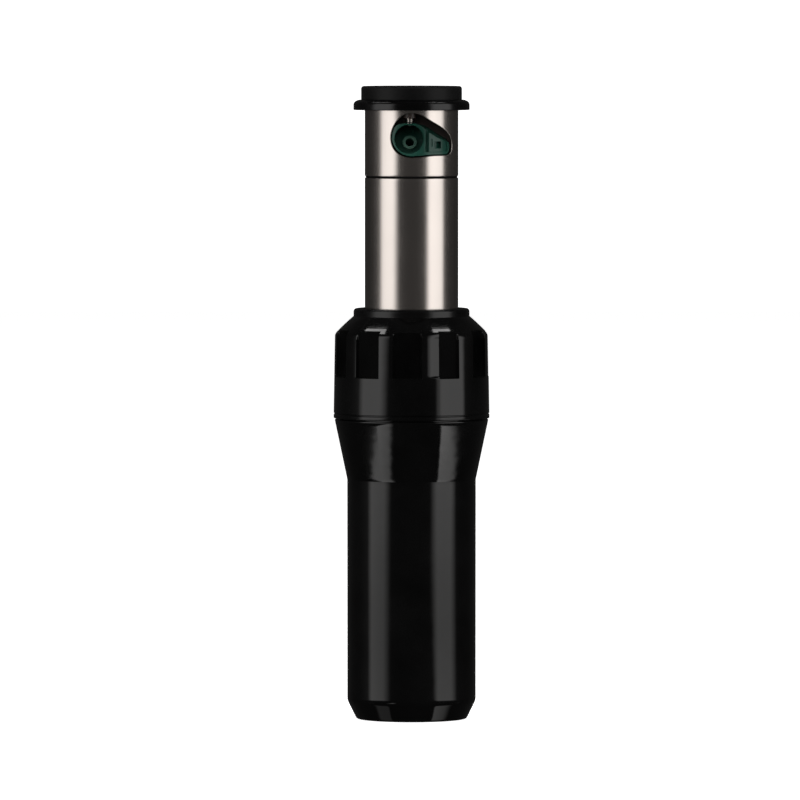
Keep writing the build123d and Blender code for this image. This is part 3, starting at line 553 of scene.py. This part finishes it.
def loop_normals(P):
    """Unit normals that point out of the loop's inside."""
    t = np.roll(P, -1, 0) - np.roll(P, 1, 0)
    nrm = np.stack([t[:, 1], -t[:, 0]], 1)
    nrm /= np.linalg.norm(nrm, axis=1)[:, None]
    area = 0.5 * np.sum(P[:, 0] * np.roll(P[:, 1], -1) - np.roll(P[:, 0], -1) * P[:, 1])
    return nrm if area > 0 else -nrm


def opening_loop(step=0.35):
    """Opening outline in the front view: x and height above its centre."""
    c = natural_spline(OPENING, 16)
    lp = resample_closed(c, step)
    return round_loop(lp, 4)


def inside_poly(pt, P):
    x, y = pt
    c = False
    j = len(P) - 1
    for i in range(len(P)):
        if (P[i, 1] > y) != (P[j, 1] > y) and x < (P[j, 0] - P[i, 0]) * (y - P[i, 1]) / (P[j, 1] - P[i, 1]) + P[i, 0]:
            c = not c
        j = i
    return c


def turret_sleeve():
    RO, RI, Z0, Z1 = 23.5, 23.0, 273.4, 309.0
    front = opening_loop()
    # unroll: s = arc length round the tube, 0 at -Y, growing towards +X
    s = np.arcsin(np.clip(front[:, 0] / RO, -1, 1)) * RO
    zc = front[:, 1] + OPEN_Z
    L = np.stack([s, zc], 1)
    L = resample_closed(L, 0.3)
    area = 0.5 * np.sum(L[:, 0] * np.roll(L[:, 1], -1) - np.roll(L[:, 0], -1) * L[:, 1])
    if area < 0:
        L = L[::-1]
    nout = loop_normals(L)
    e = 0.22                                        # radius of the rolled rim
    ring0 = L + nout * e
    # patch of surface round the opening, then plain grid strips for the rest
    W = 32.0                                        # half width of the patch, along s
    step = 1.0
    zs = np.arange(Z0 + e, Z1 - e + 1e-6, (Z1 - Z0 - 2 * e) / 36)
    ss = np.arange(-W, W + 1e-6, step)
    border = [(x, zs[0]) for x in ss] + [(W, z) for z in zs[1:]] + [(x, zs[-1]) for x in ss[::-1][1:]] + [(-W, z) for z in zs[::-1][1:-1]]
    pts = [tuple(p) for p in border] + [tuple(p) for p in ring0]
    nb, nr = len(border), len(ring0)
    edges = [(i, (i + 1) % nb) for i in range(nb)] + [(nb + i, nb + (i + 1) % nr) for i in range(nr)]
    grid = []
    big = L + nout * 0.75
    for x in ss[1:-1]:
        for z in zs[1:-1]:
            if inside_poly((x, z), big):
                continue
            grid.append((x, z))
    guard = [tuple(p) for p in L + nout * 0.55]
    allp = pts + guard + grid
    res = geometry.delaunay_2d_cdt([Vector(p) for p in allp], edges, [], 0, 1e-6)
    v2 = [tuple(v) for v in res[0]]
    tris = []
    for f in res[2]:
        c = np.mean([v2[i] for i in f], 0)
        if inside_poly(c, ring0):
            continue
        tris.append(tuple(f))
    orig = res[3]
    index_of = {}
    for i, o in enumerate(orig):
        for k in o:
            index_of[k] = i

    def wrap(p, r):
        a = p[0] / RO
        return (r * math.sin(a), -r * math.cos(a), p[1])

    V, F = [], []
    n2 = len(v2)
    for r in (RO, RI):
        V += [wrap(p, r) for p in v2]
    for f in tris:
        F.append(f)
        F.append(tuple(n2 + i for i in f[::-1]))
    # rest of the tube behind the patch, joined to its side borders
    total = 2 * math.pi * RO
    nrest = int((total - 2 * W) / 1.0)
    cols = [W + (total - 2 * W) * k / nrest for k in range(nrest + 1)]
    left = []
    for z in zs:
        best = min(range(nb), key=lambda i: abs(border[i][0] + W) + abs(border[i][1] - z))
        left.append(index_of[best])
    right = []
    for z in zs:
        best = min(range(nb), key=lambda i: abs(border[i][0] - W) + abs(border[i][1] - z))
        right.append(index_of[best])
    for side, r, flip in ((0, RO, False), (1, RI, True)):
        prev = [side * n2 + i for i in right]
        for k in range(1, nrest + 1):
            if k == nrest:
                cur = [side * n2 + i for i in left]
            else:
                cur = []
                for z in zs:
                    cur.append(len(V)); V.append(wrap((cols[k], z), r))
            for j in range(len(zs) - 1):
                q = (prev[j], cur[j], cur[j + 1], prev[j + 1])
                F.append(q[::-1] if flip else q)
            prev = cur
    # rolled rim of the opening: outer edge round, plain wall, inner edge round
    thick = RO - RI

    base = [index_of[nb + i] for i in range(nr)]
    rings = [base]
    k = 5
    for j in range(1, k + 1):
        a = math.pi / 2 * j / k
        off, dep = e * (1 - math.sin(a)), e * (1 - math.cos(a))
        ids = []
        for i in range(nr):
            ids.append(len(V)); V.append(wrap(L[i] + nout[i] * off, RO - dep))
        rings.append(ids)
    for j in range(1, k):
        a = math.pi / 2 * (k - j) / k
        off, dep = e * (1 - math.sin(a)), thick - e * (1 - math.cos(a))
        ids = []
        for i in range(nr):
            ids.append(len(V)); V.append(wrap(L[i] + nout[i] * off, RO - dep))
        rings.append(ids)
    rings.append([n2 + i for i in base])
    for A, B in zip(rings[:-1], rings[1:]):
        for i in range(nr):
            j = (i + 1) % nr
            F.append((A[i], A[j], B[j], B[i]))
    # rolled top and bottom ends
    for z_end, sign, zrow in ((Z0, -1, 0), (Z1, 1, -1)):
        if sign < 0:
            loop = [index_of[i] for i in range(len(ss))]
        else:
            start = len(ss) - 1 + len(zs) - 1
            loop = [index_of[start + i] for i in range(len(ss))][::-1]
        # columns behind the patch were appended in order, outer side first
        ring_out = list(loop)
        ring_in = [n2 + i for i in loop]
        base_out = 2 * n2
        for kcol in range(1, nrest):
            idx = base_out + (kcol - 1) * len(zs) + (0 if sign < 0 else len(zs) - 1)
            ring_out.append(idx)
            ring_in.append(idx + (nrest - 1) * len(zs))
        m = len(ring_out)
        prev = ring_out
        k = 4
        seq = []
        for j in range(1, k + 1):
            a = math.pi / 2 * j / k
            seq.append((RO - e * (1 - math.cos(a)), zs[zrow] + sign * e * math.sin(a)))
        for j in range(1, k):
            a = math.pi / 2 * (k - j) / k
            seq.append((RI + e * (1 - math.cos(a)), zs[zrow] + sign * e * math.sin(a)))
        for r, z in seq:
            ids = []
            for i in ring_out:
                x, y, _ = V[i]
                h = math.hypot(x, y)
                ids.append(len(V)); V.append((x / h * r, y / h * r, z))
            for i in range(m):
                j = (i + 1) % m
                q = (prev[i], prev[j], ids[j], ids[i])
                F.append(q if sign > 0 else q[::-1])
            prev = ids
        for i in range(m):
            j = (i + 1) % m
            q = (prev[i], prev[j], ring_in[j], ring_in[i])
            F.append(q if sign > 0 else q[::-1])
    ob = make_object("turret_shell", V, F, "steel_sleeve", "turret", ("turret_sleeve",), sharp_deg=None)
    bm = bmesh.new()
    bm.from_mesh(ob.data)
    bmesh.ops.recalc_face_normals(bm, faces=bm.faces)
    bm.to_mesh(ob.data)
    bm.free()
    return ob


turret_sleeve()

# ------------------------------------------------------ nozzle, softened
def softened(name, node, voxel, rounds, ratio, slot, body):
    """A moulded copy of a CAD node: its sharp edges get small radii."""
    me = frame["nodes"][node].data.copy()
    me.name = name
    me.materials.clear()
    me.transform(Matrix.Scale(1000.0, 4))
    tmp = bpy.data.objects.new(name + "_tmp", me)
    scene.collection.objects.link(tmp)
    m = tmp.modifiers.new("r", "REMESH"); m.mode = "VOXEL"; m.voxel_size = voxel; m.adaptivity = 0.0
    m = tmp.modifiers.new("s", "SMOOTH"); m.factor = 0.5; m.iterations = rounds
    m = tmp.modifiers.new("d", "DECIMATE"); m.ratio = ratio
    dg = bpy.context.evaluated_depsgraph_get()
    new = bpy.data.meshes.new_from_object(tmp.evaluated_get(dg))
    bpy.data.objects.remove(tmp)
    new.transform(Matrix.Scale(0.001, 4))
    new.name = name
    ob = bpy.data.objects.new(name, new)
    scene.collection.objects.link(ob)
    new.polygons.foreach_set("use_smooth", [True] * len(new.polygons))
    new.set_sharp_from_angle(angle=math.radians(50))
    new.materials.clear()
    new.materials.append(MAT[slot])
    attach(ob, body)
    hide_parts(node)
    return ob


nozzle_ob = softened("nozzle_moulded", "nozzle", 0.14, 2, 0.4, "nozzle_green", "turret")
nozzle_ob.data.materials.append(MAT_RING_PAINTED_HIGHLIGHT)
nozzle_ob.data.materials.append(MAT_BOWL_PAINTED_SHADE)
n_axis = Vector((0, -math.cos(math.radians(25)), math.sin(math.radians(25))))
n_org = Vector((-0.9, -17.5, 291.4))
for poly in nozzle_ob.data.polygons:
    d = Vector(poly.center) / MM - n_org
    t = d.dot(n_axis)
    rad = (d - t * n_axis).length
    # faces of the ring round the bore get the lighter green: a painted highlight
    if 2.05 < rad < 3.75 and -3.35 < t < -1.6:
        poly.material_index = 1
    # faces inside the bowl get the darker green: painted shade
    elif math.hypot(poly.center[0] / MM + 1.28, poly.center[2] / MM - 292.1) < 7.05:
        poly.material_index = 2


def threaded_screw():
    """Radius screw: slotted head, rolled thread, plain point."""
    X, Y, TIP = -0.95, -19.9, 298.7
    prof = [(0.0, TIP), (0.8, TIP), (1.05, TIP + 0.1), (1.75, TIP + 0.75), (1.75, TIP + 1.1), (1.5, TIP + 1.35), (1.5, TIP + 1.6)]
    zt = np.arange(TIP + 1.75, 312.4, 0.07)
    V, F = [], []
    nseg = 64
    rings = []

    def ring(rf, z):
        ids = []
        for i in range(nseg):
            a = 2 * math.pi * i / nseg
            r = rf(a) if callable(rf) else rf
            ids.append(len(V)); V.append((X + r * math.cos(a), Y + r * math.sin(a), z))
        rings.append(ids)

    for r, z in prof[1:]:
        ring(r, z)
    for z in zt:
        fade = min(1.0, (z - zt[0]) / 0.5, (zt[-1] - z) / 0.5)
        def rf(a, z=z, fade=fade):
            ph = (z / 0.7 - a / (2 * math.pi)) % 1.0
            t = abs(2 * ph - 1)
            return 1.60 + (0.33 * min(1.0, max(0.0, 1.25 * t - 0.12))) * max(0.0, fade)
        ring(rf, z)
    for r, z in ((1.9, 312.6), (2.25, 312.6), (2.4, 312.75), (2.4, 314.75), (2.33, 315.0), (2.15, 315.18)):
        ring(r, z)
    for A, B in zip(rings[:-1], rings[1:]):
        for i in range(nseg):
            j = (i + 1) % nseg
            F.append((A[i], A[j], B[j], B[i]))
    c0 = len(V); V.append((X, Y, TIP))
    for i in range(nseg):
        F.append((rings[0][(i + 1) % nseg], rings[0][i], c0))
    # slotted top: two lands and the slot's floor
    top = rings[-1]
    hw, fl = 0.45, 314.0
    land_a = [i for i in range(nseg) if (V[top[i]][1] - Y) > hw]
    land_b = [i for i in range(nseg) if (V[top[i]][1] - Y) < -hw]
    sl = [i for i in range(nseg) if abs(V[top[i]][1] - Y) <= hw]
    la = [top[i] for i in land_a]
    lb = [top[i] for i in land_b]
    ra = [i for i in sl if V[top[i]][0] > X]
    ra.sort(key=lambda i: V[top[i]][1])
    rb = [i for i in sl if V[top[i]][0] < X]
    rb.sort(key=lambda i: V[top[i]][1])
    xr = math.sqrt(2.15 ** 2 - hw ** 2)
    ids = {}
    for key, (x, y, z) in {"ap": (xr, hw, 315.18), "am": (-xr, hw, 315.18), "bp": (xr, -hw, 315.18), "bm": (-xr, -hw, 315.18),
                           "apf": (xr, hw, fl), "amf": (-xr, hw, fl), "bpf": (xr, -hw, fl), "bmf": (-xr, -hw, fl)}.items():
        ids[key] = len(V); V.append((X + x, Y + y, z))
    F.append(tuple([ids["ap"]] + la + [ids["am"]]))
    F.append(tuple([ids["bm"]] + lb + [ids["bp"]]))
    F.append((ids["ap"], ids["am"], ids["amf"], ids["apf"]))
    F.append((ids["bm"], ids["bp"], ids["bpf"], ids["bmf"]))
    F.append((ids["amf"], ids["bmf"], ids["bpf"], ids["apf"]))
    lo_r, hi_r = lb[-1], la[0]
    F.append(tuple([ids["apf"], ids["bpf"], ids["bp"], lo_r] + [top[i] for i in ra] + [hi_r, ids["ap"]]))
    lo_l, hi_l = lb[0], la[-1]
    F.append(tuple([ids["bmf"], ids["amf"], ids["am"], hi_l] + [top[i] for i in rb[::-1]] + [lo_l, ids["bm"]]))
    ob = make_object("radius_screw_threaded", V, F, "steel_small", "radius_screw", ("radius_screw",), sharp_deg=42)
    bm = bmesh.new()
    bm.from_mesh(ob.data)
    bmesh.ops.recalc_face_normals(bm, faces=bm.faces)
    bmesh.ops.triangulate(bm, faces=[f for f in bm.faces if len(f.verts) > 4])
    bm.to_mesh(ob.data)
    bm.free()
    return ob


threaded_screw()

# ------------------------------------------------------- carried over nodes
for sub in frame["record"]["subparts"]:
    n = sub["node"]
    o = frame["nodes"][n]
    o.data.materials.clear()
    o.data.materials.append({"thrust_washer": MAT_GAP, "turret_flange": MAT_FLANGE}.get(n, MAT[sub["material_slot"]]))

# ---------------------------------------------------------------- the stage


def emission_material(name, strength_builder):
    m = bpy.data.materials.new(name)
    m.use_nodes = True
    nt = m.node_tree
    nt.nodes.clear()
    out = nt.nodes.new("ShaderNodeOutputMaterial")
    em = nt.nodes.new("ShaderNodeEmission")
    nt.links.new(em.outputs[0], out.inputs[0])
    strength_builder(nt, em)
    return m


ZK = (-2.2, -1.0, -0.62, -0.42, -0.15, 0.0, 0.12, 0.15, 0.19, 1.6)


def softbox(name, side, near, near_s, far, far_s, lean, level, strength, colour=(1.0, 0.99, 0.98), near_skirt=0.05, far_skirt=0.16, low=None):
    """Tall glowing panel round the object. Its edges are azimuths from -Y in degrees, given at the heights ZK with their softness;
    lean brightens one edge."""
    D = 1.4
    az = np.arange(6.0, 150.01, 1.0)
    zs = np.concatenate([np.arange(-2.2, -0.62, 0.04), np.arange(-0.61, -0.34, 0.004), np.arange(-0.33, -0.2, 0.02), np.arange(-0.2, -0.05, 0.01), np.arange(-0.04, 1.601, 0.04)])
    V, G, F = [], [], []

    def step(x, a, b):
        t = min(1.0, max(0.0, (x - a) / (b - a)))
        return t * t * (3 - 2 * t)

    for z in zs:
        n, ns, f, fs, ln = (float(np.interp(z, ZK, k)) for k in (near, near_s, far, far_s, lean))
        lv = float(np.interp(z, [k[0] for k in level], [k[1] for k in level]))
        for a in az:
            r = math.radians(a * side)
            V.append((D * math.sin(r), -D * math.cos(r), z))
            t = (a - n) / (f - n)
            g = step(a, n - ns, n + ns) * (1 - step(a, f - fs, f + fs)) * (1 + ln * (t - 0.5))
            if low:                                 # below the main panel: darkness, then its mirrored lower parts
                g = g * step(z, -0.20, -0.12) * 1.0 + low(a, z)
            skirt = 0.0
            if a < n:
                skirt = near_skirt * math.exp(-(n - a) / 7.5)
            if a > f:
                skirt = far_skirt * math.exp(-(a - f) / 10.0) * (1 - step(a, 130, 150))
            G.append((g + (skirt * step(z, -0.20, -0.12) if low else skirt)) * lv)
    m = len(az)
    for i in range(len(zs) - 1):
        for j in range(m - 1):
            q = (i * m + j, i * m + j + 1, (i + 1) * m + j + 1, (i + 1) * m + j)
            F.append(q if side > 0 else q[::-1])
    me = bpy.data.meshes.new(name)
    me.from_pydata(V, [], F)
    at = me.attributes.new("glow", "FLOAT", "POINT")
    at.data.foreach_set("value", [max(0.0, g) for g in G])
    ob = bpy.data.objects.new(name, me)
    scene.collection.objects.link(ob)

    def build(nt, em):
        a = nt.nodes.new("ShaderNodeAttribute")
        a.attribute_name = "glow"
        nt.links.new(math_node(nt, "MULTIPLY", a.outputs["Fac"], strength), em.inputs["Strength"])
        em.inputs["Color"].default_value = (*colour, 1)
        # the panel glows but hides nothing behind it
        tr = nt.nodes.new("ShaderNodeBsdfTransparent")
        add = nt.nodes.new("ShaderNodeAddShader")
        out = next(k for k in nt.nodes if k.type == "OUTPUT_MATERIAL")
        nt.links.new(em.outputs[0], add.inputs[0])
        nt.links.new(tr.outputs[0], add.inputs[1])
        nt.links.new(add.outputs[0], out.inputs[0])

    me.materials.append(emission_material(name + "_light", build))
    ob.visible_camera = False
    ob.visible_shadow = False
    return ob


LEVEL = [(-2.2, 1.0), (-0.25, 1.0), (-0.04, 0.62), (0.12, 1.0), (0.9, 1.0), (1.4, 0.2)]
def ramp(x, a, b):
    t = min(1.0, max(0.0, (x - a) / (b - a)))
    return t * t * (3 - 2 * t)


def low_left(a, z):
    """Lower end of the left panel: a slanted band for the flared part of the case and a weak one for its foot."""
    top = -0.4450 + ((a - 58.5) * 0.00121 if a > 57.0 else (57.0 - a) * 0.005)
    near = 32.3 + max(0.0, -0.4977 - z) * 257.0
    u = z - 0.0025 * (a - 35.0)
    lv = float(np.interp(u, (-0.56, -0.53, -0.511, -0.49), (0.88, 0.90, 1.06, 1.2)))
    g = (1 - ramp(z, top - 0.003, top + 0.003)) * ramp(a, near - 5.5, near + 5.5) * (1 - ramp(a, 92, 98)) * ramp(z, -0.64, -0.58)
    g *= lv * (0.74 + 0.36 * min(1.0, max(0.0, (a - near) / 22.0)))
    foot = ramp(a, 53.5, 57.0) * (1 - ramp(a, 80, 88)) * (1 - ramp(z - 0.0115 * (a - 55.0), -1.50, -1.40))
    return g + foot * 0.16


def low_right(a, z):
    top = -0.4030 + (a - 74.0) * 0.00107
    near = 47.6 + (-0.4668 - z) * 72.0
    u = z - 0.003 * (a - 48.0)
    lv = float(np.interp(u, (-0.52, -0.505, -0.495, -0.484, -0.475, -0.467), (0.95, 1.0, 1.08, 1.30, 1.42, 1.60)))
    g = (1 - ramp(z, top - 0.020, top + 0.020)) * ramp(a, near - 0.8, near + 0.8) * (1 - ramp(a, 98, 104)) * ramp(z, -0.64, -0.58)
    g *= lv * (1.12 - 0.26 * min(1.0, max(0.0, (a - near) / 38.0)))
    foot = ramp(a, 55.8, 58.0) * (1 - ramp(a, 80, 96)) * (1 - ramp(z - 0.0115 * (a - 55.0), -1.50, -1.40))
    return g + foot * (0.56 - 0.26 * min(1.0, max(0.0, (a - 60.0) / 25.0)))


softbox("softbox_left", -1, (46, 46, 46, 46, 46, 44.5, 42, 41.5, 38.4, 38.4), (9, 9, 9, 9, 9, 9, 8, 8, 8, 8), (80, 80, 80, 80, 80, 80, 80.2, 80.2, 80.2, 80.2),
        (5, 5, 5, 5, 5, 6, 5.5, 5.5, 5.5, 5.5), (0.25, 0.25, 0.25, 0.25, 0.25, 0.25, -0.1, -0.2, -0.25, -0.25), LEVEL, 1.42, low=low_left)
softbox("softbox_right", 1, (46.5, 46.5, 46.5, 46.5, 46.5, 39.5, 40.3, 40.3, 40.3, 40.3), (3.5, 3.5, 3.5, 3.5, 3.5, 9, 6, 6, 6, 6), (83, 83, 83, 83, 83, 79.3, 82.8, 82.8, 84.0, 85.0),
        (8, 8, 8, 8, 8, 9, 4, 3.2, 4, 5), (-0.2, -0.2, -0.2, -0.2, -0.2, -0.1, -0.2, -0.2, -0.2, -0.2), LEVEL, 1.48, far_skirt=0.06, low=low_right)


def high_panel(name, phi0, phi1, tilt0, tilt1, strength):
    """Small overhead panel, shaped so that a cone of that tilt mirrors it between two azimuths."""
    V, F = [], []
    view = np.array((0.0, -math.cos(math.radians(2.5)), math.sin(math.radians(2.5))))
    base = np.array((0.0, 0.0, 0.1975))
    nu, nv = 16, 8
    for i in range(nu + 1):
        for j in range(nv + 1):
            ph = math.radians(phi0 + (phi1 - phi0) * i / nu)
            ti = math.radians(tilt0 + (tilt1 - tilt0) * j / nv)
            n = np.array((math.cos(ti) * math.sin(ph), -math.cos(ti) * math.cos(ph), math.sin(ti)))
            r = 2 * n.dot(view) * n - view
            V.append(tuple(base + 0.036 * np.array((math.sin(ph), -math.cos(ph), 0.0)) + r * 1.9))
    for i in range(nu):
        for j in range(nv):
            a = i * (nv + 1) + j
            F.append((a, a + 1, a + nv + 2, a + nv + 1))
    me = bpy.data.meshes.new(name)
    me.from_pydata(V, [], F)
    ob = bpy.data.objects.new(name, me)
    scene.collection.objects.link(ob)

    def build(nt, em):
        em.inputs["Strength"].default_value = strength
        em.inputs["Color"].default_value = (1.0, 0.99, 0.98, 1)

    me.materials.append(emission_material(name + "_light", build))
    ob.visible_camera = False
    ob.visible_shadow = False
    return ob


high_panel("panel_high_left", -40.2, -21.0, 43.2, 45.7, 4.6)
high_panel("panel_high_right", 17.2, 32.6, 43.2, 45.7, 5.6)

# overhead fill, lights rough surfaces and the floor but isn't mirrored
la = bpy.data.lights.new("fill_top", "AREA")
la.shape = "RECTANGLE"; la.size = 3.0; la.size_y = 3.0; la.energy = 60
lo = bpy.data.objects.new("fill_top", la)
scene.collection.objects.link(lo)
lo.location = (0, -0.3, 2.6)
lo.visible_glossy = False
# soft light from the front that reaches into the nozzle, also not mirrored
lb = bpy.data.lights.new("fill_front", "AREA")
lb.shape = "RECTANGLE"; lb.size = 0.9; lb.size_y = 0.9; lb.energy = 5.5
lf = bpy.data.objects.new("fill_front", lb)
scene.collection.objects.link(lf)
lf.location = (-0.35, -1.7, 0.75)
lf.rotation_euler = (Vector((0, 0, 0.29)) - lf.location).to_track_quat("-Z", "Y").to_euler()
lf.visible_glossy = False

world = bpy.data.worlds.new("studio")
scene.world = world
world.use_nodes = True
wt = world.node_tree
wt.nodes.clear()
wo = wt.nodes.new("ShaderNodeOutputWorld")
bg1 = wt.nodes.new("ShaderNodeBackground"); bg1.inputs[0].default_value = (1, 1, 1, 1); bg1.inputs[1].default_value = 1.3
bg2 = wt.nodes.new("ShaderNodeBackground"); bg2.inputs[0].default_value = (1.0, 0.985, 0.97, 1)
# the room: a little lighter in front of the object than behind it
wtc = wt.nodes.new("ShaderNodeTexCoord")
wsep = wt.nodes.new("ShaderNodeSeparateXYZ")
wt.links.new(wtc.outputs["Generated"], wsep.inputs[0])
wt.links.new(remap(wt, wsep.outputs[1], -0.9, 0.75, 0.043, 0.026, True), bg2.inputs[1])
lp = wt.nodes.new("ShaderNodeLightPath")
mx = wt.nodes.new("ShaderNodeMixShader")
wt.links.new(lp.outputs["Is Camera Ray"], mx.inputs[0])
wt.links.new(bg2.outputs[0], mx.inputs[1])
wt.links.new(bg1.outputs[0], mx.inputs[2])
wt.links.new(mx.outputs[0], wo.inputs[0])

# pale floor
me = bpy.data.meshes.new("floor")
S = 6.0
me.from_pydata([(-S, -S, -0.0002), (S, -S, -0.0002), (S, S, -0.0002), (-S, S, -0.0002)], [], [(0, 1, 2, 3)])
floor = bpy.data.objects.new("floor", me)
scene.collection.objects.link(floor)
fm = bpy.data.materials.new("floor_pale")
fm.use_nodes = True
nt = fm.node_tree
p = nt.nodes["Principled BSDF"]
p.inputs["Base Color"].default_value = (0.85, 0.85, 0.85, 1)
p.inputs["Roughness"].default_value = 0.9
p.inputs["Specular IOR Level"].default_value = 0.0
p.inputs["Emission Color"].default_value = (1, 1, 1, 1)
p.inputs["Emission Strength"].default_value = 0.95
me.materials.append(fm)
floor.visible_glossy = False
floor.visible_diffuse = False

# --------------------------------------------------------------- the camera
cam = bpy.data.cameras.new("camera")
cam.sensor_width = 36.0
cam.lens = 36.0 * 4.8 / 0.4026
cam.clip_end = 60.0
co = bpy.data.objects.new("camera", cam)
scene.collection.objects.link(co)
target = Vector((-0.0058, 0.0, 0.16055))
el = math.radians(2.5)
co.location = target + 4.8 * Vector((0, -math.cos(el), math.sin(el)))
co.rotation_euler = (target - co.location).to_track_quat("-Z", "Y").to_euler()
scene.camera = co
